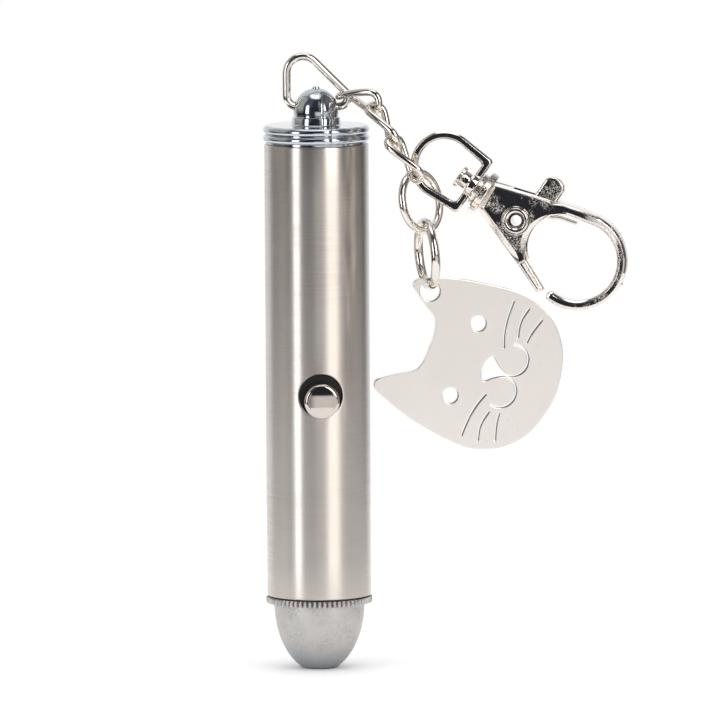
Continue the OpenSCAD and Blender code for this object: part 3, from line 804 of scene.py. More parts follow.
# dark finish of the walls between the knurl's teeth: painted shade
GROOVE_SHADE = Finish(
    "nose_groove_painted_shade", (0.4, 0.395, 0.39), (0.28, 0.277, 0.273), metallic=0.8, roughness=0.5, swing=0.1)
SPRING_STEEL = Finish("spring_wire", (0.74, 0.71, 0.67), (0.62, 0.58, 0.54), roughness=0.25)
BLACK_RUBBER = Finish(
    "black_gasket_rubber", (0.02, 0.02, 0.022), (0.045, 0.043, 0.04), metallic=0.0, roughness=0.62,
    swing=0.1, relief=0.01)
BRASS = Finish(
    "turned_brass", (0.78, 0.58, 0.26), (0.62, 0.42, 0.16), roughness=0.24, stretch=(300, 300, 7000))
LENS_GLASS = Finish(
    "lens_glass", (0.95, 0.97, 1.0), (0.88, 0.93, 0.97), metallic=0.0, roughness=0.03, swing=0.01,
    stain=0.2, relief=0.0002, glass=1.0)
GILT_CAN = Finish("gilt_diode_can", (0.86, 0.68, 0.36), (0.74, 0.55, 0.25), roughness=0.2)
BLACK_PLASTIC = Finish(
    "black_moulding", (0.03, 0.03, 0.032), (0.055, 0.053, 0.05), metallic=0.0, roughness=0.45,
    swing=0.08, relief=0.008)
GREEN_BOARD = Finish(
    "green_board_mask", (0.02, 0.16, 0.07), (0.035, 0.22, 0.10), metallic=0.0, roughness=0.35,
    stretch=even(4000), relief=0.004, coat=0.4)
SLEEVE_PLASTIC = Finish(
    "pale_sleeve_plastic", (0.74, 0.72, 0.66), (0.66, 0.63, 0.56), metallic=0.0, roughness=0.5,
    swing=0.06, relief=0.005)
CELL_STEEL = Finish(
    "cell_can_steel", (0.76, 0.76, 0.75), (0.68, 0.67, 0.65), roughness=0.22, stretch=(400, 400, 6000))
WHITE_PAPER = Finish(
    "white_paper", (0.93, 0.93, 0.93), (0.91, 0.91, 0.91), metallic=0.0, roughness=0.9, swing=0.05,
    relief=0.002)

INSIDE: dict[str, Finish] = {
    "nose_gasket": BLACK_RUBBER, "lens_nut": BRASS, "collimating_lens": LENS_GLASS,
    "lens_spring": SPRING_STEEL, "module_housing": BRASS, "laser_diode": GILT_CAN,
    "module_carrier": BLACK_PLASTIC, "circuit_board": GREEN_BOARD, "board_components": BLACK_PLASTIC,
    "switch_body": BLACK_PLASTIC, "switch_plunger": BLACK_PLASTIC, "board_contact": BRASS,
    "battery_sleeve": SLEEVE_PLASTIC, "front_cell": CELL_STEEL, "middle_cell": CELL_STEEL,
    "rear_cell": CELL_STEEL, "contact_spring": SPRING_STEEL,
}


def dress(obj: Piece, finish: Finish) -> None:
    """Gives an object one finish."""
    obj.data.materials.clear()
    obj.data.materials.append(finish.material())


def fit(obj: Piece, finish: Finish, body: str, slot: str, *nodes: str) -> Piece:
    """Dresses a new piece and says what it rides on and stands for.

    Args:
        obj: the piece.
        finish: its finish.
        body: the body that it moves with.
        slot: the record's slot of its finish; not used.
        nodes: the solids that it replaces.

    Returns:
        The piece.
    """
    dress(obj, finish)
    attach(obj, body)
    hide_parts(*nodes)
    LOG.info("%s: %d faces on %s", obj.name, len(obj.data.polygons), body)
    return obj


def second(obj: Piece, finish: Finish, chosen: Callable[[Array, Array], Array]) -> None:
    """Gives some of an object's faces another finish.

    Args:
        obj: the object.
        finish: the other finish.
        chosen: tells from the faces' middles in millimetres and their normals which ones take it.
    """
    faces = obj.data.polygons
    mid, normal = np.empty(len(faces) * 3, np.float32), np.empty(len(faces) * 3, np.float32)
    faces.foreach_get("center", mid)
    faces.foreach_get("normal", normal)
    obj.data.materials.append(finish.material())
    found = chosen(mid.reshape(-1, 3) / MM, normal.reshape(-1, 3))
    faces.foreach_set("material_index", found.astype(np.int32))


@dataclass
class Barrel:
    """Brushed tube with the button's hole."""

    outer: float = 7.0
    inner: float = 6.2
    low: float = 9.9
    top: float = 70.9
    hole: float = 2.93
    hole_z: float = 37.5
    hole_edge: float = 0.17
    hole_steps: int = 96
    end_edge: float = 0.12
    patch: float = 4.6

    def wall(self, r: float | Array, a: Array, z: Array) -> Array:
        """Points of a round wall: (r sin a, -r cos a, z)."""
        r, a, z = np.broadcast_arrays(r, a, z)
        return np.stack([r * np.sin(a), -r * np.cos(a), z], -1)

    def hole_ring(self, rho: float, r: float) -> Array:
        """The circle of radius rho round the hole's axis, laid on the wall of radius r.

        Args:
            rho: the circle's radius.
            r: the wall's radius.

        Returns:
            Points (x, -sqrt(r^2 - x^2), z) of the circle.
        """
        t = turns(self.hole_steps)
        x = rho * np.cos(t)
        return np.stack([x, -np.sqrt(r * r - x * x), self.hole_z + rho * np.sin(t)], -1)

    def hole_patch(self, r: float, rho: float) -> Array:
        """From the hole's circle to a square on the wall, straight in angle and height.

        Args:
            r: the wall's radius.
            rho: the circle's radius.

        Returns:
            Grid of points, closer together near the hole.
        """
        t = turns(self.hole_steps)
        k = np.maximum(np.abs(np.cos(t)), np.abs(np.sin(t)))
        a0, z0 = np.arcsin(rho * np.cos(t) / r), rho * np.sin(t)
        a1, z1 = self.patch / self.outer * np.cos(t) / k, self.patch * np.sin(t) / k
        s = np.linspace(0, 1, 9)[:, None] ** 1.3
        return self.wall(r, a0 + (a1 - a0) * s, self.hole_z + z0 + (z1 - z0) * s)

    def end_rows(self, start: float, end: float) -> Array:
        """Rows from the outer wall, over a rounded end of the tube, to the inner wall.

        Args:
            start: height where the rows leave the outer wall.
            end: height of the tube's end.

        Returns:
            Array of (r, z).
        """
        e, way = self.end_edge, math.copysign(1, end - start)
        a = np.radians(np.linspace(0, 90, 5))
        outside = np.stack([np.full(6, self.outer), np.linspace(start, end - way * e, 6)], -1)
        lip = np.stack([self.outer - e * (1 - np.cos(a)), end - way * e * (1 - np.sin(a))], -1)
        bore = np.stack([self.inner + e * (1 - np.cos(a)), end - way * e * (1 - np.sin(a))], -1)[::-1]
        inside = np.stack([np.full(6, self.inner), np.linspace(end - way * e, start, 6)], -1)
        return np.vstack([outside, lip[1:], bore, inside[1:]])

    def build(self) -> None:
        """Makes the tube: patches round the hole, the wall beside it, and both ends."""
        skin = Skin()
        a = np.radians(np.linspace(0, 90, 7))
        rho = self.hole + self.hole_edge * (1 - np.cos(a))
        r = self.outer - self.hole_edge * (1 - np.sin(a))
        rings = [self.hole_ring(self.hole, self.inner)] + [self.hole_ring(p, q) for p, q in zip(rho, r)]
        skin.grid(np.stack(rings), wrap_v=True)
        skin.grid(self.hole_patch(self.outer, self.hole + self.hole_edge), wrap_v=True)
        skin.grid(self.hole_patch(self.inner, self.hole), wrap_v=True)
        square = np.tan(np.radians(np.linspace(-45, 45, self.hole_steps // 4 + 1)))
        half = self.patch / self.outer
        rest = np.linspace(half, TAU - half, 121)
        for r in (self.outer, self.inner):
            skin.grid(self.wall(r, rest[None], self.hole_z + self.patch * square[:, None]))
        columns = np.r_[half * square, rest[1:-1]]
        for start, end in ((self.hole_z + self.patch, self.top), (self.hole_z - self.patch, self.low)):
            rows = self.end_rows(start, end)
            skin.grid(self.wall(rows[:, :1], columns[None], rows[:, 1:]), wrap_v=True)
        fit(skin.make("barrel_shell"), BRUSHED_STEEL, "barrel", "brushed_steel", "barrel_tube")


@dataclass
class Nose:
    """Cast nose with the beam aperture, a knurled flange and a screwed spigot."""

    flange_low: float = 8.85
    flange_top: float = 9.7
    flange: float = 7.15
    flange_in: float = 5.9
    base: float = 6.1
    tip: float = 2.3
    aperture: float = 1.5
    bore: float = 4.4
    spigot: float = 6.15
    spigot_top: float = 13.9
    screw_top: float = 13.6
    teeth: int = 64
    tooth: float = 0.5
    tooth_root: float = 6.45
    tooth_power: float = 0.75
    # radius and share of the tooth's depth that bound the painted shade in the grooves
    shaded_from: float = 6.3
    shaded_share: float = 0.62

    def build(self) -> None:
        """Makes nose, flange and spigot: r(z) is an ellipse that meets the tip's flat face."""
        reach = self.flange_low / math.sqrt(1 - (self.tip / self.base) ** 2)
        z = self.flange_low * np.linspace(0.006, 1, 44) ** 1.3
        ogive = np.stack([self.base * np.sqrt(1 - ((self.flange_low - z) / reach) ** 2), z], -1)
        inside = [(self.bore, self.spigot_top), (self.bore, 8.0), (self.aperture, 2.0),
                  (self.aperture, 0.2)]
        mouth = [(self.aperture + 0.05, 0.06), (self.aperture + 0.18, 0), (self.tip - 0.14, 0),
                 (self.tip - 0.04, 0.003)]
        screw_z = np.linspace(self.flange_top - 0.2, self.screw_top, 64)
        screw = np.stack([np.full(64, self.spigot), screw_z], -1)
        rows = np.vstack([inside, mouth, ogive, [(self.base, 9.3)], screw, [(5.8, self.spigot_top)]])
        a = turns(160)
        dip = thread(rows[:, 1:], a, self.flange_top + 0.2, self.screw_top) * (rows[:, :1] == self.spigot)
        skin = Skin()
        skin.grid(spun(rows, a, dip), True, True)
        low, top = self.flange_low, self.flange_top - 0.005
        box = [(self.flange_in, low), (self.flange, low), (self.flange, top), (self.flange_in, top)]
        rim = rounded(box, [0, 0.2, 0.2, 0], 4)
        a = turns(self.teeth * 12)
        notch = self.tooth * (1 - np.abs(np.sin(self.teeth / 2 * a)) ** self.tooth_power)
        skin.grid(spun(rim, a, -np.clip((rim[:, :1] - self.tooth_root) / 0.5, 0, 1) * notch), True, True)
        nose = fit(skin.make("nose_casting", Crease.TURNED), CAST_NOSE, "nose", "cast_nose", "nose_cap")
        # the grooves between the teeth are painted dark as shade
        second(nose, GROOVE_SHADE, self.in_groove)

    def in_groove(self, mid: Array, normal: Array) -> Array:
        """Tells the walls between the flange's teeth, which take a dark finish as painted shade.

        Args:
            mid: the faces' middles.
            normal: their normals.

        Returns:
            For each face, whether it is one of them.
        """
        r = np.hypot(mid[:, 0], mid[:, 1])
        rim = (mid[:, 2] > self.flange_low) & (mid[:, 2] < self.flange_top) & (np.abs(normal[:, 2]) < 0.6)
        return rim & (r > self.shaded_from) & (r < self.flange - self.shaded_share * self.tooth)


@dataclass
class RearCap:
    """Chromed cap: screwed spigot, two beads, and a domed post with a bore for the triangle ring."""

    spigot: float = 6.15
    spigot_in: float = 4.9
    tube_top: float = 70.9
    neck: float = 6.75
    bead_mid: float = 6.6
    bead_r: float = 0.55
    bead_low: float = 71.2
    cap_top: float = 73.4
    foot: float = 3.25
    groove_z: float = 74.53
    ball: float = 3.05
    dome_z: float = 75.3
    nub_z: float = 78.36
    bore_z: float = 75.85
    bore: float = 0.8
    mouth: float = 1.05
    mouth_at: Pair = (2.82, 3.02)
    parting: float = 12.4
    ridge: float = 0.11
    ridge_width: float = 0.11

    def profile(self, low: float, screw: Pair) -> Array:
        """Points of the cap's section, from the inside of its spigot round to the top of its dome.

        Args:
            low: height of the spigot's end.
            screw: heights where the thread starts and ends.

        Returns:
            Array of (r, z).
        """
        roof, seat, top = self.tube_top - 0.6, self.tube_top + 0.02, self.cap_top
        inside = [(POLE, roof), (self.spigot_in, roof), (self.spigot_in, low), (5.9, low)]
        thread_rows = np.stack([np.full(56, self.spigot), np.linspace(*screw, 56)], -1)
        neck = [(self.spigot, seat), (self.neck - 0.06, seat), (self.neck, seat + 0.06),
                (self.neck, self.bead_low + 0.02)]
        bead_z = self.bead_low + self.bead_r * np.array([1, 3])
        beads = [arc((self.bead_mid, z), self.bead_r, -72, last, 15) for z, last in zip(bead_z, (72, 90))]
        lid = [(6.3, top + 0.005), (5.0, top + 0.01), (3.7, top + 0.015), (self.foot + 0.16, top + 0.03),
               (self.foot + 0.03, top + 0.14)]
        post = [(self.foot, top + 0.35), (self.foot, self.groove_z - 0.18),
                (self.foot - 0.05, self.groove_z - 0.07), (self.ball - 0.04, self.groove_z)]
        dome = arc((0, self.dome_z), self.ball, -13, 80.5, 34)
        tip = self.nub_z
        nub = [(0.5, tip), (0.45, tip + 0.14), (0.33, tip + 0.21), (POLE, tip + 0.19)]
        return np.vstack([inside, thread_rows, neck, *beads, lid, post, dome, nub])

    def build(self) -> None:
        """Makes the cap. The mould's parting line is a ridge exp(-(r da / w)^2) on both sides."""
        low = self.tube_top - 4.2
        screw = (low + 0.25, self.tube_top - 0.3)
        rows = self.profile(low, screw)
        seams = np.radians([self.parting - 90, self.parting + 90])
        fine = np.radians(np.linspace(-3.5, 3.5, 15))
        a = np.sort(np.r_[turns(144), (seams[:, None] + fine).ravel()] % TAU)
        r, z = rows[:, :1], rows[:, 1:]
        gap = np.abs((a[None, :, None] - seams + math.pi) % TAU - math.pi).min(-1)
        ridge = self.ridge * np.exp(-((np.maximum(r, 0.3) * gap / self.ridge_width) ** 2))
        ridge = ridge * (z > self.bead_low - 0.05) * (r > 0.8)
        screwed = (r == self.spigot) * (z < self.tube_top) * thread(z, a, *screw)
        cap = shell("cap_casting", spun(rows, a, ridge + screwed), crease=Crease.TURNED)
        inner, outer = self.mouth_at
        half = np.array([(self.bore, inner), (self.mouth, outer), (self.mouth, 5), (POLE, 5)])
        q = spun(np.vstack([(half * [1, -1])[::-1], half]), turns(40))
        tool = shell("cap_bore_tool", np.stack([q[..., 2], q[..., 0], q[..., 1] + self.bore_z], -1))
        cut(cap, tool, Crease.TURNED)
        fit(cap, CHROME, "cap", "chrome", "rear_cap")


@dataclass
class Button:
    """Chromed push button with a soft edge, and a retaining flange that is black as painted shade in the
    gap round it.
    """

    radius: float = 2.36
    flange: float = 3.2
    flange_edge: float = 0.1
    foot: float = 3.72
    edge: float = 9.8
    dome: float = 0.18
    soft: float = 0.5
    z: float = 37.02

    def build(self) -> None:
        """Makes the button: its crown is a ball's cap, joined to the shank by a round edge."""
        ball = (self.radius**2 + self.dome**2) / (2 * self.dome)
        r = np.linspace(self.radius - self.soft, POLE, 14)
        crown = np.stack([r, self.edge + self.dome - ball + np.sqrt(ball**2 - r**2)], -1)
        shoulder = arc((self.radius - self.soft, crown[0, 1] - self.soft), self.soft, 0, 84, 10)
        shank = [(POLE, self.foot + 0.5), (self.radius, self.foot + 0.5)]
        cap = self.turned("button_cap", np.vstack([shank, shoulder, crown]))
        fit(cap, BUTTON_CHROME, "button", "chrome", "push_button")
        # the flange, seen in the gap round the button, takes the black finish as painted shade
        r, low, top, e = self.flange, self.foot, self.foot + 1, self.flange_edge
        rim = [(POLE, low), (r - e, low), (r, low + e), (r, top - e), (r - e, top),
               (self.radius - 0.2, top)]
        fit(self.turned("button_flange_shade", rim), BLACK_PLASTIC, "button", "black_plastic", "push_button")

    def turned(self, name: str, profile: Array | list[Pair]) -> Piece:
        """Makes a part turned about the button's axis from (radius, distance) points."""
        q = spun(profile, turns(96))
        return shell(name, np.stack([q[..., 0], -q[..., 2], q[..., 1] + self.z], -1))


@dataclass
class Chain:
    """Triangle ring, three twisted links, jump ring and charm ring."""

    hole_z: float = 75.85
    left: Pair = (-3.94, 0.0)
    peak: Pair = (-3.94, 9.89)
    right: Pair = (5.95, 0.0)
    bends: Triple = (1.6, 2.2, 1.2)
    bail_wire: float = 1.1
    link_wire: float = 1.0
    link_len: float = 6.8
    link_half: float = 1.45
    ways: tuple[Triple, ...] = (
        (0.689, -0.719, -0.095), (0.409, -0.532, -0.741), (0.553, -0.228, -0.802))
    bears_at: Triple = (40.0, 90.0, 47.0)
    twist: float = 90.0
    gap: float = 0.06
    ring_wire: float = 1.05
    jump_r: float = 4.0
    jump_up: Triple = (-0.23, 0.0225, 0.9725)
    jump_turn: float = 49.0
    jump_seam: float = 112.0
    jump_play: float = 0.06
    charm_r: float = 4.32
    charm_wire: float = 1.22
    charm_at: Triple = (-0.077, -0.089, -1.0)
    charm_down: Triple = (0.1, -0.16, -0.98)
    charm_out: Triple = (0.185, -0.973, 0.14)
    charm_seam: float = 235.0
    charm_play: float = 0.03

    def bail_corner(self, p: Pair, q: Pair, r: Pair, bend: float) -> tuple[Array, Array, float]:
        """The circle that rounds corner p between corners q and r.

        Args:
            p: the corner.
            q: one neighbour.
            r: the other.
            bend: the circle's radius.

        Returns:
            Its middle, the direction from the corner to it, and half the corner's angle.
        """
        p, q, r = (np.array(x, float) for x in (p, q, r))
        inward = unit(unit(q - p) + unit(r - p))
        half = math.acos(float(unit(q - p) @ inward))
        return p + inward * bend / math.sin(half), inward, half

    def bail_bend(self, p: Pair, q: Pair, r: Pair, bend: float) -> Array:
        """Points of the bend at corner p between corners q and r.

        Args:
            p: the corner.
            q: one neighbour.
            r: the other.
            bend: radius of the bend.

        Returns:
            Array of points on the ring's middle line.
        """
        mid, inward, half = self.bail_corner(p, q, r, bend)
        out = math.atan2(-inward[1], -inward[0])
        a = out - np.linspace(-1, 1, 17) * (math.pi / 2 - half)
        return np.stack([mid[0] + bend * np.cos(a), 0 * a, self.hole_z + mid[1] + bend * np.sin(a)], -1)

    def middle(self, start: Array, way: Array, side: Array, s: Array) -> Array:
        """Middle line of a link: an oval whose width direction turns along its length.

        Args:
            start: the link's near end.
            way: its length direction.
            side: a direction square to it.
            s: distances round the oval.

        Returns:
            Points start + along way + wide (turned width direction).
        """
        half, flat = self.link_half, self.link_len - 2 * self.link_half
        q = half * math.pi
        s = np.asarray(s, float) % (2 * q + 2 * flat)
        a, b = (s - flat) / q * math.pi, (s - 2 * flat - q) / q * math.pi
        parts = [s < flat, s < flat + q, s < 2 * flat + q]
        along = np.select(parts, [half + s, half + flat + half * np.sin(a), half + flat - (s - flat - q)],
                          half - half * np.sin(b))
        wide = np.select(parts, [half + 0 * s, half * np.cos(a), -half + 0 * s], -half * np.cos(b))
        return start + along[..., None] * way + wide[..., None] * self.width_way(way, side, along)

    def width_way(self, way: Array, side: Array, along: Array) -> Array:
        """The link's width direction at a distance along it."""
        at = np.radians(self.twist * along / self.link_len)[..., None]
        return side * np.sin(at) + np.cross(way, side) * np.cos(at)

    def on_loop(self, start: Array, way: Array, side: Array, at: float) -> Array:
        """Point of the far end loop at an angle in degrees."""
        flat = self.link_len - 2 * self.link_half
        return self.middle(start, way, side, np.array(flat + self.link_half * math.pi * (180 - at) / 180))

    def link(self, names: Names, start: Array, way: Array, side: Array) -> None:
        """Makes one link.

        Args:
            names: the piece's name, its body and its node.
            start: the link's near end.
            way: its length direction.
            side: a direction square to it.
        """
        name, body, node = names
        round_len = TAU * self.link_half + 2 * (self.link_len - 2 * self.link_half)
        path = self.middle(start, way, side, np.linspace(0, round_len, 144, endpoint=False))
        normal = np.cross(way, self.width_way(way, side, (path - start) @ way))
        wire = shell(name, tube(path, normal, self.link_wire / 2, 20, True), wrap_u=True)
        fit(wire, NICKEL_WIRE, body, "nickel_wire", node)

    def ring(self, names: Names, mid: Array, axes: tuple[Array, Array], sizes: Triple) -> None:
        """Makes a wire ring with a butt joint: mid + r (u cos + v sin).

        Args:
            names: the piece's name, its body and its node.
            mid: the ring's middle.
            axes: u and v.
            sizes: radius, thickness of the wire, and the joint's angle in degrees.
        """
        name, body, node = names
        (u, v), (r, wire, seam) = axes, sizes
        a = math.radians(seam) + np.linspace(0.012, TAU - 0.012, 121)[:, None]
        path, radius = blunt(mid + r * (u * np.cos(a) + v * np.sin(a)), wire / 2, 0.12)
        ring = shell(name, tube(path, np.cross(u, v), radius, 24, False))
        fit(ring, NICKEL_WIRE, body, "nickel_wire", node)

    def build(self) -> Array:
        """Makes the chain from the cap outwards.

        Returns:
            Lowest point of the charm ring's middle line.
        """
        left, peak, right = self.left, self.peak, self.right
        corners = ((left, peak, right), (peak, left, right), (right, left, peak))
        path = np.vstack([self.bail_bend(*corner, bend) for corner, bend in zip(corners, self.bends)])
        wire = tube(path, np.array([0.0, 1, 0]), self.bail_wire / 2, 24, True)
        bail = shell("triangle_wire", wire, wrap_u=True)
        fit(bail, NICKEL_WIRE, "bail", "nickel_wire", "triangle_ring")
        x, z = self.bail_corner(*corners[-1], self.bends[-1])[0]
        touch, tangent = np.array([x + self.bends[-1], 0, self.hole_z + z]), np.array([0.0, 0, 1])
        hang = (self.bail_wire + self.link_wire) / 2 + self.gap
        words = ("first", "one"), ("second", "two"), ("third", "three")
        for way, at, (word, count) in zip(unit(self.ways), self.bears_at, words):
            side = across(tangent, way)
            start = touch - way * hang
            self.link((f"{word}_twisted_link", f"link_{count}", f"{word}_link"), start, way, side)
            touch = self.on_loop(start, way, side, at)
            ahead, behind = (self.on_loop(start, way, side, at + step) for step in (0.5, -0.5))
            tangent = unit(ahead - behind)
            hang = self.link_wire + self.gap
        v, turn = unit(self.jump_up), math.radians(self.jump_turn)
        u = across([math.cos(turn), math.sin(turn), 0], v)
        loop_mid = start + way * (self.link_len - self.link_half)
        hang = (self.link_wire + self.ring_wire) / 2 + self.gap + self.jump_play
        top = touch + unit(loop_mid - touch) * hang
        mid = top - self.jump_r * v
        sizes = (self.jump_r, self.ring_wire, self.jump_seam)
        self.ring(("jump_wire", "ring", "jump_ring"), mid, (u, v), sizes)
        low = mid + self.jump_r * across(self.charm_at, np.cross(u, v))
        down = unit(self.charm_down)
        out = across(self.charm_out, down)
        top = low + [0, 0, (self.ring_wire + self.charm_wire) / 2 + self.gap + self.charm_play]
        sizes = (self.charm_r, self.charm_wire, self.charm_seam)
        mid = top + self.charm_r * down
        self.ring(("charm_wire", "charm_loop", "charm_ring"), mid, (out, -down), sizes)
        return top + 2 * self.charm_r * down


@dataclass
class Charm:
    """Cat face plate, hung by a hole in its ear, with its features cut through."""

    thick: float = 0.9
    edge: float = 0.07
    ear_hole: Pair = (-7.86, 6.92)
    ear_hole_r: float = 1.4
    eye_r: float = 1.1
    eye_half: float = 5.17
    eye_x: float = -0.15
    slit: float = 0.28
    whisker: float = 0.27
    mouth_r: float = 2.15
    turn: float = 5.0
    tilt: float = 21.9
    wire: float = 1.22
    play: float = 0.16
    aside: float = 0.15

    def outline(self) -> Array:
        """The face's edge: a smooth curve from the chin to the brow and its mirror image.

        Returns:
            Closed loop of points.
        """
        edge = np.array([
            (13.25, 0), (13.08, 1.75), (12.62, 3.77), (11.97, 5.66), (10.74, 7.56), (9, 9.2), (7, 10.25),
            (4.85, 10.87), (2.69, 10.95), (0, 10.66), (-2.96, 10.2), (-5.38, 9.64), (-7.54, 8.96),
            (-9.26, 8.3), (-10.16, 7.68), (-10.34, 7.1), (-10.04, 6.5), (-9.05, 5.75), (-7.58, 4.78),
            (-6.45, 4.12), (-5.7, 3.45), (-5.34, 2.56), (-5.18, 1.35), (-5.18, 0)])
        half = through(edge, (13.08, -1.75), (-5.18, -1.35), 6)
        return without_repeats(np.vstack([half, (half * [1, -1])[::-1][1:-1]]))

    def slit_loop(self, points: list[Pair], flip: int) -> Array:
        """A slit: a smooth curve with half the slit's width to either side.

        Args:
            points: points of the curve.
            flip: -1 for the mirror image, or 1.

        Returns:
            Closed loop of points.
        """
        p = np.array(points, float)
        c = through(p, tuple(2 * p[0] - p[1]), tuple(2 * p[-1] - p[-2]), 6)
        t = unit(np.gradient(c, axis=0))
        side = np.stack([-t[:, 1], t[:, 0]], -1) * self.whisker / 2
        return np.vstack([c + side, (c - side)[::-1]]) * [1, flip]

    def snout(self) -> Array:
        """Nose and mouth as one hole: half of it and its mirror image.

        Returns:
            Closed loop of points.
        """
        mid, r, w = (5.96, self.mouth_r + 0.1), self.mouth_r, self.slit / 2
        nose = [(2.5, 0), (2.6, 0.72), (2.84, 1.32), (3.2, 1.78), (3.36, 1.84), (3.75, 1.6), (4.4, 1),
                (5.2, 0.5), (5.96, 0.168)]
        half = np.vstack([nose, arc(mid, r - w, -90, 105.4, 34), arc(mid, r + w, 105.4, -79.2, 34)])
        return np.vstack([half, (half * [1, -1])[::-1][:-1]])

    def build(self, ring_low: Array) -> None:
        """Makes the plate.

        Args:
            ring_low: lowest point of the charm ring, which it hangs on.
        """
        hang = self.ear_hole_r - self.wire / 2 - self.play
        place = Place(tuple(ring_low - [self.aside, 0, hang]), self.turn, self.tilt)
        holes = [circle(self.ear_hole, self.ear_hole_r, 48), self.snout()]
        holes += [circle((self.eye_x, s * self.eye_half), self.eye_r, 40) for s in (-1, 1)]
        whiskers = [[(3.23, 9.69), (3.27, 7.8), (3.43, 6.2), (3.77, 4.7), (4.27, 3.3)],
                    [(5.56, 9.5), (5.2, 7.94), (5.25, 6.6), (5.56, 5.3)],
                    [(7.74, 8.68), (7.34, 7.4), (7.07, 6.33), (6.93, 5.05)]]
        holes += [self.slit_loop(w, s) for w in whiskers for s in (-1, 1)]
        loops = [wound(loop, i == 0) - self.ear_hole for i, loop in enumerate([self.outline(), *holes])]
        skin = Skin()
        half = self.thick / 2
        skin.plate(loops, edge_rows(-half, half, self.edge, self.edge, 1, 4), place)
        plate = skin.make("cat_face_plate", Crease.TURNED)
        fit(plate, SATIN_PLATE, "charm", "satin_plate", "cat_charm")
        # the walls of the cut-outs are painted dark as shade
        second(plate, HOLE_WALL_SHADE, lambda mid, normal: self.hole_wall(mid, normal, place, loops[0]))

    @staticmethod
    def hole_wall(mid: Array, normal: Array, place: Place, outline: Array) -> Array:
        """Tells the walls of the holes, painted dark as shade, from the faces and from the outer edge.

        Args:
            mid: the faces' middles.
            normal: their normals.
            place: the plate's frame.
            outline: the outer edge.

        Returns:
            For each face, whether it is such a wall.
        """
        flat = (mid - np.array(place.origin)) @ place.axes()
        wall = np.abs(normal @ place.axes()[:, 1]) < 0.6
        return wall & (np.linalg.norm(flat[:, None, [0, 2]] - outline[None], axis=-1).min(1) > 0.2)


